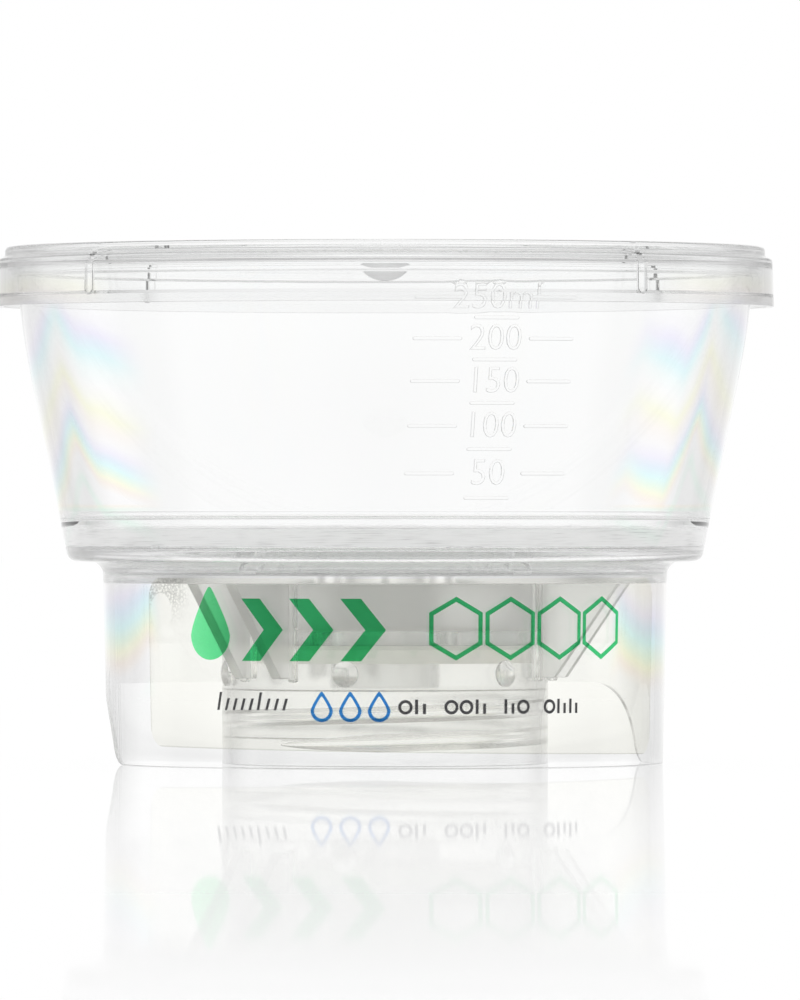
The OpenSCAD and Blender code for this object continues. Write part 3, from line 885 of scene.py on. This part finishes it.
def vent_ribs():
    """Upright bars with a round lower end."""
    ribs = bmesh.new()
    half = RIB_W / 2
    top = LID_UNDER + BITE + 0.1
    face = [(half, top), (-half, top)] + arc(0, LID_UNDER - RIB_H + half, half, 180, 360)
    for angle in rib_angles():
        known = set(ribs.verts)
        start = [ribs.verts.new(((RIM_R + RIB_GAP) * MM, y * MM, z * MM)) for y, z in face]
        drawn_out(ribs, start, ((LID_IN_R - RIM_R + RIB_GAP) * MM, 0, 0))
        edges = list({e for v in start for e in v.link_edges if e.other_vert(v) in start})
        bevelled(ribs, edges, RIB_CORNER, 5)
        rotated(ribs, [v for v in ribs.verts if v not in known], heading(angle))
    return ribs


def shoulder_ribs():
    """Each vent rib's low continuation across the shoulder and inside the ring."""
    ribs = bmesh.new()
    inner = PANEL_R + LID_WALL - BITE
    outer = LID_IN_R - 0.1
    outline = [(inner, LID_UNDER - BITE), (outer, LID_UNDER - BITE), (outer, LID_UNDER + BITE),
               (RING_IN_R + BITE, LID_UNDER + BITE), (RING_IN_R + BITE, RING_UNDER + BITE),
               (inner, RING_UNDER + BITE)]
    for angle in rib_angles():
        plate(ribs, outline, LOW_RIB_HALF, angle, rounding=0.1)
    return ribs


def dimple():
    ball = (DIMPLE_R ** 2 + DIMPLE_DEPTH ** 2) / (2 * DIMPLE_DEPTH)
    spread = math.degrees(math.asin(DIMPLE_R / ball))
    top = PANEL_UNDER + BITE + 0.1
    bowl = arc(0, PANEL_UNDER + ball - DIMPLE_DEPTH, ball, spread - 90, -90, 14)
    return turned([(0, top), (DIMPLE_R, top)] + bowl[:-1] + [(0, PANEL_UNDER - DIMPLE_DEPTH)], 0.01, 1, 64)


lid_steps = [("UNION", vent_ribs()), ("UNION", shoulder_ribs()), ("UNION", dimple())]
lid_shape = combined(turned(lid_outline(), 0.12), lid_steps)
lid = piece("lid_cover", lid_shape, clear_lid, "lid", 25)
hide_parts("lid")

# %% [markdown]
# ## The base
#
# Tray, skirt and collar are one moulding. Its round part is one outline: from the drain spout
# out through the collar and the skirt, and back over the tray with its support rings. The
# floor under the membrane falls towards the spout.

# %% The base's outline
FLANGE_Z = SEAM_Z - 2.2
PAN_Z = FLANGE_Z - 3
PAN_T = 2
PAN_FALL = 0.6
PAN_SLOPE = 1
PAN_TOP = PAN_Z + PAN_T
SUPPORT_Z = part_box("membrane")[0].z / MM
SUPPORT_T = 1.0
SUPPORT_PITCH = 5.6
SUPPORT_STEPS = 6
SKIRT_TOP_R = CUP_FOOT_R - 5.55
SKIRT_DRAFT = 0.6
SKIRT_WALL = 1.5
SKIRT_FILLET = 2
TRAY_EDGE = 1.5
TRAY_INSET = 0.2
THREAD_R = 22.6
THREAD_RELIEF = 0.3
COLLAR_R = THREAD_R + 1.4
COLLAR_IN_R = THREAD_R - 0.4
COLLAR_TOP = PAN_Z - 6.9
POCKET_TOP = COLLAR_TOP - 2.2
POCKET_FOOT = POCKET_TOP - 6.6
THREAD_FOOT = POCKET_FOOT - 7
SPOUT_R = 8
DRAIN_R = 6.5
SPOUT_FOOT = POCKET_FOOT + 0.2
RING_INSET = 1.3


def skirt_radius(z):
    return SKIRT_TOP_R - SKIRT_DRAFT * (1 - z / FLANGE_Z)


def base_outline():
    under = [(DRAIN_R, SPOUT_FOOT), (SPOUT_R, SPOUT_FOOT), (SPOUT_R, POCKET_TOP),
             (COLLAR_IN_R, POCKET_TOP), (COLLAR_IN_R, POCKET_FOOT), (THREAD_R, POCKET_FOOT),
             (THREAD_R, THREAD_FOOT), (THREAD_R + THREAD_RELIEF, THREAD_FOOT), (THREAD_R + THREAD_RELIEF, 0),
             (COLLAR_R, 0), (COLLAR_R, PAN_Z), (skirt_radius(PAN_Z) - SKIRT_WALL, PAN_Z),
             (skirt_radius(0) - SKIRT_WALL, 0), (skirt_radius(0), 0)]
    fillet_z = FLANGE_Z - SKIRT_FILLET
    side = arc(skirt_radius(fillet_z) + SKIRT_FILLET, fillet_z, SKIRT_FILLET, 180, 90) \
        + arc(CUP_FOOT_R - TRAY_INSET - TRAY_EDGE, FLANGE_Z + TRAY_EDGE, TRAY_EDGE, 270, 360)
    pan_r = SKIRT_TOP_R - SKIRT_WALL
    pan_foot_r = pan_r - PAN_SLOPE
    ring = UPSTAND_R - UPSTAND_T - RING_INSET
    over = [(CUP_FOOT_R, SEAM_Z), (ring + SUPPORT_T, SEAM_Z), (ring + SUPPORT_T, SUPPORT_Z),
            (ring, SUPPORT_Z), (ring, SEAM_Z), (pan_r + PAN_SLOPE, SEAM_Z), (pan_foot_r, PAN_TOP)]
    for step in range(SUPPORT_STEPS):
        r = ring - (step + 1) * SUPPORT_PITCH
        floor = PAN_TOP - PAN_FALL * (1 - r / pan_foot_r)
        over += [(r + SUPPORT_T, floor), (r + SUPPORT_T, SUPPORT_Z), (r, SUPPORT_Z), (r, floor)]
    return under + side + over + [(DRAIN_R, PAN_TOP - PAN_FALL)]


print("base outline has", len(base_outline()), "points")

# %% [markdown]
# ### What is cut out of the base
#
# An air chamber lies over the bottle's neck, with six holes down into it and a duct to the port
# at the back. Three channels cross the support rings to the drain. The back of the skirt is cut
# away in a wide arch, which leaves room for the port and a hose.

# %% Cuts
CUT_MIDDLE = 196
CUT_SPAN = 180
CUT_HEIGHT = 11.6
CUT_CORNER = 16
CUT_FOOT = 5
CUT_STEPS = 320
# The arch's two roundings cross by this much where they would only touch
CROSSING = 0.02
CHANNEL_HALF = 1.5
CHANNEL_FOOT = PAN_Z + 1.45
HOLE_COUNT = 6
HOLE_R = 1.6
HOLE_DEPTH = 4.2
PORT_Z = PAN_Z - 3.7
BOSS_END = SKIRT_TOP_R + 1
DUCT_R = 2.5
PORT_R = 3.5
PORT_DEPTH = 7
# How far a cutting shape reaches past what it cuts
PAST = 1


def chamber():
    corners = [(SPOUT_R, COLLAR_TOP), (COLLAR_IN_R, COLLAR_TOP), (COLLAR_IN_R, PAN_Z), (SPOUT_R, PAN_Z)]
    return turned(corners, 0.4, 4)


def skirt_cutout():
    """A wide arch through the back of the skirt. Each end runs down in an arc and out in another."""
    foot_r = skirt_radius(0)
    inner = foot_r - SKIRT_WALL - 1.2
    outer = SKIRT_TOP_R + 1.5
    centre_z = CUT_HEIGHT - CUT_CORNER
    inset = math.degrees(math.asin(math.sqrt(CUT_CORNER ** 2 - centre_z ** 2) / foot_r))
    apart = CUT_CORNER + CUT_FOOT
    across = math.sqrt(apart ** 2 - (CUT_FOOT - centre_z) ** 2)
    half = CUT_SPAN / 2 - inset + math.degrees(math.asin(across / foot_r))
    rows = []
    for i in range(CUT_STEPS + 1):
        turn = -half * math.cos(math.pi * i / CUT_STEPS)
        past = foot_r * math.sin(math.radians(max(0, abs(turn) - CUT_SPAN / 2 + inset)))
        if past < across * CUT_CORNER / apart:
            top = centre_z + math.sqrt(CUT_CORNER ** 2 - past ** 2)
        else:
            top = CUT_FOOT - math.sqrt(CUT_FOOT ** 2 - max(0, across - past) ** 2) - CROSSING
        corners = ((inner, -PAST), (outer, -PAST), (outer, top), (inner, top))
        rows.append([on_circle(r, CUT_MIDDLE + turn, z) for r, z in corners])
    shape = bmesh.new()
    swept(shape, rows)
    return shape


def channel(angle):
    shape = bmesh.new()
    reach = SKIRT_TOP_R - SKIRT_WALL - 1.2
    top = SUPPORT_Z + PAST
    corners = [(-reach, CHANNEL_FOOT), (reach, CHANNEL_FOOT), (reach, top), (-reach, top)]
    plate(shape, corners, CHANNEL_HALF, angle + 90)
    return shape


def vacuum_holes():
    shape = bmesh.new()
    for count in range(HOLE_COUNT):
        x, y, _ = on_circle((SPOUT_R + COLLAR_IN_R) / 2, 30 + 60 * count, 0)
        rod(shape, HOLE_R, HOLE_DEPTH, (x / MM, y / MM, POCKET_TOP - PAST))
    return shape


def duct(radius, start_y):
    shape = bmesh.new()
    rod(shape, radius, BOSS_END + PAST - start_y, (0, start_y, PORT_Z), "Y", 64)
    return shape


cuts = [("DIFFERENCE", chamber()), ("DIFFERENCE", skirt_cutout())]
cuts += [("DIFFERENCE", channel(angle)) for angle in (0, 60, 120)]
bores = [("DIFFERENCE", vacuum_holes()), ("DIFFERENCE", duct(DUCT_R, SPOUT_R + 2)),
         ("DIFFERENCE", duct(PORT_R, BOSS_END - PORT_DEPTH))]
print(len(cuts), "cuts and", len(bores), "bores")

# %% [markdown]
# ### What is added to the base
#
# Three pairs of gussets stiffen the collar. Each plate has a bead where it meets the collar.
# Six round studs stand out from it, the bottle's thread runs inside it, and a boss carries the
# port. These are joined on after the cuts, and the bores are drilled last.

# %% Gussets, studs, thread and boss
GUSSET_ANGLE = -44
GUSSET_SHIFT = 3.825
GUSSET_FOOT = 12.7
GUSSET_TOP_GAP = 4
BEAD_SHIFT = 4.9
BEAD_R = 0.75
STUD_COUNT = 6
STUD_ANGLE = -13.7
STUD_Z = 13.4
STUD_R = 1.9
STUD_EDGE = 0.35
STUD_RISE = 0.9
STUD_BALL = 4.56
THREAD_TURNS = 1.6
THREAD_PITCH = 4.0
THREAD_START = 3.1
THREAD_FADE = 10
THREAD_FROM = -40
RIDGE_HEIGHT = 1.35
STEPS_A_TURN = 96
BOSS_HALF = 6.15
BOSS_CORNER = 1.5
BOSS_FOOT = PORT_Z - 5


def gusset_sides():
    """The angle of each pair of gussets, once for each side of it."""
    return [(GUSSET_ANGLE + 120 * count, side) for count in range(3) for side in (-1, 1)]


def gussets():
    shape = bmesh.new()
    top_r = skirt_radius(PAN_Z) - SKIRT_WALL - GUSSET_TOP_GAP
    foot_r = COLLAR_R - 0.5
    outline = [(foot_r, GUSSET_FOOT), (COLLAR_R + 2.5, GUSSET_FOOT), (top_r, PAN_Z), (top_r, PAN_Z + 0.6),
               (foot_r, PAN_Z + 0.6)]
    for angle, side in gusset_sides():
        plate(shape, outline, 1, angle, side * GUSSET_SHIFT, 0.2)
    return shape


def beads():
    shape = bmesh.new()
    foot = GUSSET_FOOT - 0.5
    for angle, side in gusset_sides():
        place = heading(angle) @ Vector((COLLAR_R + 0.15, side * BEAD_SHIFT, 0))
        rod(shape, BEAD_R, PAN_Z + 0.5 - foot, (place.x, place.y, foot), "Z", 24, 0.3)
    return shape


def studs():
    """Domes on the collar, turned about Z and then laid over to point outwards."""
    start = math.asin(STUD_R / STUD_BALL)
    base = STUD_BALL * math.cos(start)
    profile = [(0, -0.6), (STUD_R, -0.6), (STUD_R, 0.25)]
    for r, height in arc(0, 0, STUD_BALL, 90 - math.degrees(start), 90):
        profile.append((r, STUD_EDGE + (STUD_RISE - STUD_EDGE) * (height - base) / (STUD_BALL - base)))
    shape = bmesh.new()
    for count in range(STUD_COUNT):
        known = set(shape.verts)
        verts = [shape.verts.new((r * MM, 0, height * MM)) for r, height in profile]
        spun(shape, verts + [shape.edges.new(pair) for pair in zip(verts, verts[1:])], 40)
        bmesh.ops.remove_doubles(shape, verts=[v for v in shape.verts if v not in known], dist=MERGE)
        made = [v for v in shape.verts if v not in known]
        rotated(shape, made, Matrix.Rotation(math.pi / 2, 4, "Y"))
        bmesh.ops.translate(shape, verts=made, vec=(COLLAR_R * MM, 0, STUD_Z * MM))
        rotated(shape, made, heading(STUD_ANGLE + 60 * count))
    return shape


def thread():
    """A right-handed ridge inside the collar, fading out at both ends."""
    steps = int(THREAD_TURNS * STEPS_A_TURN)
    root = THREAD_R + 0.7
    rings = []
    for i in range(steps + 1):
        fade = math.sqrt(max(min(1, i / THREAD_FADE, (steps - i) / THREAD_FADE), 0.02))
        z = THREAD_START + THREAD_PITCH * i / STEPS_A_TURN
        crest = THREAD_R + 0.15 - RIDGE_HEIGHT * fade
        section = [(root, -1.7), (root, 1.7), (crest + 0.15, 0.5), (crest, 0.3), (crest, -0.3),
                   (crest + 0.15, -0.5)]
        rings.append([on_circle(r, THREAD_FROM + 360 * i / STEPS_A_TURN, z + up * fade) for r, up in section])
    shape = bmesh.new()
    swept(shape, rings)
    return shape


def boss():
    top = PAN_Z + 0.5
    corner_x = BOSS_HALF - BOSS_CORNER
    corner_z = BOSS_FOOT + BOSS_CORNER
    outline = [(BOSS_HALF, top), (-BOSS_HALF, top)] + arc(-corner_x, corner_z, BOSS_CORNER, 180, 270) \
        + arc(corner_x, corner_z, BOSS_CORNER, 270, 360)
    start = COLLAR_IN_R + 0.5
    shape = bmesh.new()
    verts = [shape.verts.new((x * MM, start * MM, z * MM)) for x, z in outline]
    drawn_out(shape, verts, (0, (BOSS_END - start) * MM, 0))
    return shape


additions = [("UNION", made) for made in (thread(), gussets(), beads(), studs(), boss())]
base_shape = combined(turned(base_outline(), 0.25), cuts + additions + bores)
base = piece("base_moulding", base_shape, clear_base, "base")
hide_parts("base_housing")

# %% [markdown]
# ## The weld
#
# The cup is spun into the base until the plastic melts. The joint stays cloudy and streaked
# round the part. A thin ring carries that look: its noise is stretched along the seam, and its
# cover fades out at the top of the upstand. The group finds a place's way round the part, so
# that patterns can be laid out in millimetres as on an unrolled wall.

# %% Weld
WELD_R = UPSTAND_R + 0.05
WELD_T = 0.1
WELD_LOW = SEAM_Z + 0.1
WELD_TOP = UPSTAND_TOP - 0.5


def polar_group():
    """How far a place is round the part, at a given radius, and how high, both in millimetres."""
    outputs = {"Round": "NodeSocketFloat", "Height": "NodeSocketFloat"}
    group, given, result = new_group("round_the_part", {"Radius": 47.0}, outputs)
    x, y, z = axes(place_in(group))
    around = x.maths("ARCTAN2", y * -1) * given["Radius"]
    set_inputs(group, result, {"Round": around, "Height": z * 1000})
    return group


round_the_part = polar_group()


def polar(tree, radius):
    """The way round and the height of a place, and both as one vector."""
    outputs = add_node(tree, "Group", {"Radius": radius}, node_tree=round_the_part).outputs
    way, height = (Wire(tree, outputs[key]) for key in ("Round", "Height"))
    return way, height, wire(tree, "CombineXYZ", {"X": way, "Y": height})


def stretched_noise(place, along, up, detail=3):
    """Noise whose grains are so many millimetres long round the part and high."""
    inputs = {0: place, 1: (1 / along, 1 / up, 1)}
    return noise(wire(place.tree, "VectorMath", inputs, operation="MULTIPLY"), 1, detail, 0.6)


def weld_material():
    material, tree, shader = new_material("cloudy_weld", {"Roughness": 0.5})
    _, height_mm, place = polar(tree, 46)
    streaks = stretched_noise(place, 5, 0.16)
    clouds = stretched_noise(place, 9, 3, 2)
    tone = ramp(streaks * 0.7 + clouds * 0.3, [(0.30, 0.5), (0.42, 0.86), (0.50, 1), (0.7, 1)])
    inputs = {"Value": height_mm + streaks, "From Min": SEAM_Z, "From Max": UPSTAND_TOP}
    height = wire(tree, "MapRange", inputs, "Result")
    cover = ramp(height, [(0, 0.42), (0.6, 0.38), (0.82, 0.22), (0.92, 0), (1, 0)])
    set_inputs(tree, shader, {"Base Color": tone, "Alpha": cover})
    return material


weld_section = [(WELD_R, WELD_LOW), (WELD_R + WELD_T, WELD_LOW), (WELD_R + WELD_T, WELD_TOP),
                (WELD_R, WELD_TOP)]
piece("weld_seam", turned(weld_section, 0.02, 1), weld_material(), "base")

# %% [markdown]
# ### Flash
#
# Here and there a little plastic is pressed out of the seam. Each stretch is a bead swept along
# the seam, thick and thin by turns.

# %% Flash
# Degrees round the part from and to, and how thick the bead is in mm
FLASH = [(-46, -43.8, 0.3), (-43.5, -30, 0.14), (10.8, 17.5, 0.2), (43, 52, 0.12), (55, 78, 0.1),
         (120, 150, 0.14), (200, 228, 0.12)]
FLASH_SIDES = 10


def flash():
    random.seed(7)
    shape = bmesh.new()
    for start, end, thick in FLASH:
        steps = max(8, int((end - start) * 2.5))
        rings = []
        for i in range(steps + 1):
            ease = math.sin(math.pi * min(0.5, 4 * min(i, steps - i) / steps + 0.02))
            radius = thick * ease * random.uniform(0.7, 1.15)
            lift = random.uniform(-0.04, 0.04)
            angle = start + (end - start) * i / steps
            section = arc(0, SEAM_Z + lift, radius, 0, 360, FLASH_SIDES)[:-1]
            rings.append([on_circle(CUP_FOOT_R - 0.12 + r * 0.8, angle, z) for r, z in section])
        swept(shape, rings)
    bmesh.ops.recalc_face_normals(shape, faces=shape.faces[:])
    return shape


piece("seam_flash", flash(), clear_cup, "base", 80)

# %% [markdown]
# ## Film, gasket and plug
#
# The membrane is a fine white film. The gasket is milky silicone, and the plug in the air duct
# is pressed fibre. The hose connector is white polypropylene. Their shapes are simple, so the
# CAD pieces are kept, and each gets a matt finish whose tone wanders a little.

# %% Matt pieces
BUMP_DEPTH = 0.05 * MM


def matt_material(name, light, dark, grain, roughness, bump=0):
    material, tree, shader = new_material(name, {"Roughness": roughness})
    cloudy = noise(place_in(tree), 1 / (grain * MM), 4)
    set_inputs(tree, shader, {"Base Color": ramp(cloudy, [(0.35, dark), (0.65, light)])})
    if bump:
        inputs = {"Strength": bump, "Distance": BUMP_DEPTH, "Height": cloudy}
        set_inputs(tree, shader, {"Normal": wire(tree, "Bump", inputs)})
    return material


finishes = {
    "membrane": matt_material("membrane_film", (0.95, 0.95, 0.94), (0.90, 0.90, 0.89), 0.4, 0.8),
    "neck_gasket": matt_material("milky_silicone", (0.80, 0.78, 0.77), (0.72, 0.70, 0.69), 4, 0.45),
    "port_filter": matt_material("pressed_fibre", (0.86, 0.86, 0.84), (0.70, 0.70, 0.68), 0.3, 0.9, 0.5),
    "hose_connector": matt_material("white_polypropylene", (0.86, 0.87, 0.87), (0.80, 0.81, 0.82), 3, 0.35),
}
for node, finish in finishes.items():
    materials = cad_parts[node].data.materials
    materials.clear()
    materials.append(finish)
print("matt finishes for", ", ".join(finishes))

# %% [markdown]
# ## The label
#
# The label is a clear film glued round the front of the skirt, a little aslant. It is a thin
# curved sheet with round corners, closed at its edges.

# %% Label film
LABEL_Z = 2.98
LABEL_TILT = 1.33
LABEL_TOP = FLANGE_Z - 2.3
LABEL_FROM = -55.6
LABEL_TO = 69.8
LABEL_CORNER = 3.0
LABEL_STEPS = 200
FILM_IN = 0.06
FILM_OUT = 0.16
LABEL_START = math.radians(LABEL_FROM) * SKIRT_TOP_R
LABEL_END = math.radians(LABEL_TO) * SKIRT_TOP_R


def film():
    columns = []
    for i in range(LABEL_STEPS + 1):
        share = 0.5 - 0.5 * math.cos(math.pi * i / LABEL_STEPS)
        off = min(share, 1 - share) * (LABEL_END - LABEL_START)
        lift = LABEL_CORNER - math.sqrt(max(0, LABEL_CORNER ** 2 - max(0, LABEL_CORNER - off) ** 2))
        lift = min(lift, LABEL_CORNER - 0.02)
        angle = LABEL_FROM + (LABEL_TO - LABEL_FROM) * share
        low = LABEL_Z - LABEL_TILT * share + lift
        top = LABEL_TOP - lift
        corners = ((FILM_IN, low), (FILM_OUT, low), (FILM_OUT, top), (FILM_IN, top))
        columns.append([on_circle(skirt_radius(z) + r, angle, z) for r, z in corners])
    shape = bmesh.new()
    swept(shape, columns)
    bmesh.ops.recalc_face_normals(shape, faces=shape.faces[:])
    return shape


print("label of", round(LABEL_END - LABEL_START, 1), "mm round the skirt")

# %% [markdown]
# ### The film's finish
#
# The film has a faint cream tint and fine specks, and its cut edges show as thin lines. Air is
# trapped under its upper left corner in small bubbles, round a patch that did stick. The film
# bends no light, because both its sides are so near the skirt, so the grey of its cut edges and
# of the bubbles' rims is painted shade.

# %% Film material
# A cream tint, then the greys of the painted shade at bubble rims and cut edges
FILM_TINT_AND_SHADE = [(0, (1, 0.998, 0.958)), (0.3, (0.80, 0.80, 0.76)), (1, (0.42, 0.42, 0.41))]
CUT_EDGE = 0.16
BUBBLE_RIMS = [(0, 0), (0.4, 0.15), (0.55, 1), (0.8, 0.3)]
# Where the film did stick: mm from its left end and down from its top, and how tight the patch is
STUCK_ACROSS = 2.9
STUCK_DOWN = 4.8
STUCK_SCALE = (0.4, 0.38)


def trapped_air(across, down, place):
    bubbles = wire(place.tree, "TexVoronoi", {"Vector": place, "Scale": 2.0}, "Distance")
    arch = ((across - STUCK_ACROSS) * STUCK_SCALE[0]) ** 2 + ((down - STUCK_DOWN) * STUCK_SCALE[1]) ** 2
    outside = ramp(arch * 0.2, [(0.19, 0), (0.21, 1)])
    upper = ramp(down * 0.1, [(0, 1), (0.28, 0.9), (0.45, 0.4), (0.75, 0)])
    near = ramp(across * 0.1, [(0, 1), (0.6, 1), (0.95, 0)])
    return ramp(bubbles, BUBBLE_RIMS) * (outside * upper * near)


def film_material():
    settings = {"Transmission Weight": 1, "IOR": 1, "Roughness": 0.02}
    material, tree, shader = new_material("label_film", settings)
    round_mm, height_mm, place = polar(tree, SKIRT_TOP_R)
    across = round_mm - LABEL_START
    air = trapped_air(across, LABEL_TOP - height_mm, place)
    level = height_mm + across * (LABEL_TILT / (LABEL_END - LABEL_START))
    right_end = round_mm.maths("GREATER_THAN", LABEL_END - CUT_EDGE)
    ends = across.maths("LESS_THAN", CUT_EDGE).maths("MAXIMUM", right_end)
    edge = ends.maths("MAXIMUM", level.maths("LESS_THAN", LABEL_Z + CUT_EDGE))
    specks = stretched_noise(place, 0.5, 0.5, 2)
    # Painted shade: bubble rims and cut edges are greyed; the specks are the film's own.
    shade = (air * 0.6).maths("MAXIMUM", edge * 0.25).maths("ADD", specks * 0.06, clamp=True)
    set_inputs(tree, shader, {"Base Color": ramp(shade, FILM_TINT_AND_SHADE)})
    return material


label_film = piece("label_film", film(), film_material(), "base")
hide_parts("label")

# %% [markdown]
# ### The print
#
# The print is made of plain shapes: bold green ones on the left, thin green outlines on the
# right, and a small row of grey dashes and blue drops. Each shape is drawn flat from its corners.

# %% Flat shapes
DROP_STEPS = 28


def polygon(x, z, radius, corners, turn=0):
    return arc(x, z, radius, turn, 360 + turn, corners)[:-1]


def drop_outline(x, z, radius, height):
    """A water drop: a circle below, drawn out to a point above."""
    points = []
    for i in range(DROP_STEPS):
        turn = math.tau * i / DROP_STEPS
        lift = max(0, math.cos(turn))
        side = radius * math.sin(turn) * (1 - 0.62 * lift ** 1.5)
        up = (height - radius) * lift ** 1.2 if lift else radius * math.cos(turn)
        points.append((x + side, z + up))
    return points


def chevron(x, z, width, height, weight):
    half = height / 2
    return [(x, z + half), (x + weight, z + half), (x + width, z), (x + weight, z - half), (x, z - half),
            (x + width - weight, z)]


def dash(x, z, width, height, lean=0):
    return [(x, z), (x + width, z), (x + width + lean, z + height), (x + lean, z + height)]


print("a drop has", len(drop_outline(0, 0, 1, 3)), "corners")

# %% [markdown]
# ### Ink on the film
#
# The flat shapes are cut into strips, bent round the skirt and given a hair of thickness. The
# coloured inks are clear, so they are glass that bends no light. The grey ink is dense, so it
# has a cover instead. Towards the label's left end the green and grey inks are painted lighter:
# that is painted light, where the print is lit more brightly from behind.

# %% Printing
INK_LOW = FILM_OUT + 0.006
INK_HIGH = FILM_OUT + 0.026
# Where the inks' painted light is full, in mm left of the front
PAINTED_LIGHT_END = 28


def closed_shape(shape, loops):
    """A flat face from one loop, or a band between an outer and an inner loop of equal length."""
    rings = [[shape.verts.new((x * MM, 0, z * MM)) for x, z in loop] for loop in loops]
    if len(rings) == 1:
        shape.faces.new(rings[0])
    else:
        band(shape, *rings)


def printed(name, groups, material):
    shape = bmesh.new()
    for loops in groups:
        closed_shape(shape, loops)
    cut_across(shape, 0.8, 0.31, 60)
    bmesh.ops.recalc_face_normals(shape, faces=shape.faces[:])
    made = bmesh.ops.extrude_face_region(shape, geom=shape.faces[:])["geom"]
    far = {v for v in made if isinstance(v, bmesh.types.BMVert)}
    for vert in shape.verts:
        z = vert.co.z / MM
        radius = skirt_radius(z) + (INK_HIGH if vert in far else INK_LOW)
        vert.co = on_circle(radius, math.degrees(vert.co.x / MM / SKIRT_TOP_R), z)
    bmesh.ops.recalc_face_normals(shape, faces=shape.faces[:])
    return piece(name, shape, material, "base", 60)


def ink(name, colour, painted_light_tone, cover=None):
    settings = {"Roughness": 0} if cover else {"Roughness": 0, "Transmission Weight": 1, "IOR": 1}
    material, tree, shader = new_material(name, settings)
    round_mm, _, place = polar(tree, SKIRT_TOP_R)
    grain = stretched_noise(place, 0.25, 0.25, 3)
    # Painted light: the inks turn lighter towards the label's left end.
    left = ramp((round_mm + grain * 5 + PAINTED_LIGHT_END) * 0.1, [(0, 1), (1, 0)])
    set_inputs(tree, shader, {"Base Color": mix(tree, left, colour, painted_light_tone)})
    if cover:
        set_inputs(tree, shader, {"Alpha": ramp(grain, [(0.2, cover - 0.05), (0.8, cover + 0.05)])})
    return material


GREEN_Z = 20.8
green = [[drop_outline(-27.2, GREEN_Z - 1.6, 3.6, 10.6)]]
green += [[chevron(-21.6 + 7.6 * i, GREEN_Z - 0.8, 6.6, 9.0, 3.0)] for i in range(3)]
green += [[polygon(10.4 + 8.4 * i, GREEN_Z - 0.6, radius, 6, 30) for radius in (4.6, 3.85)] for i in range(4)]
printed("print_green", green, ink("green_ink", (0.075, 0.62, 0.25), (0.22, 0.90, 0.43)))

dashes = [[dash(-26 + 1.35 * i, 8.4, 0.42, 2.6 if i in (0, 5) else 1.7, 0.5)] for i in range(9)]
for i, kind in enumerate("ob-oob-bo-obb"):
    x = 3 + 2.25 * i
    if kind == "o":
        dashes.append([polygon(x, 8.9, radius, 24) for radius in (1.05, 0.62)])
    if kind == "b":
        dashes += [[dash(x - 0.85, 7.9, 0.45, 2.1)], [dash(x + 0.3, 7.9, 0.45, 1.5)]]
printed("print_grey", dashes, ink("grey_ink", (0.03, 0.03, 0.035), (0.05, 0.05, 0.05), 0.85))

drops = [[drop_outline(-9.2 + 4.2 * i, 8.4, *size) for size in ((1.65, 4.4), (1.15, 3.2))] for i in range(3)]
printed("print_blue", drops, ink("blue_ink", (0.04, 0.26, 0.68), (0.04, 0.26, 0.68)))
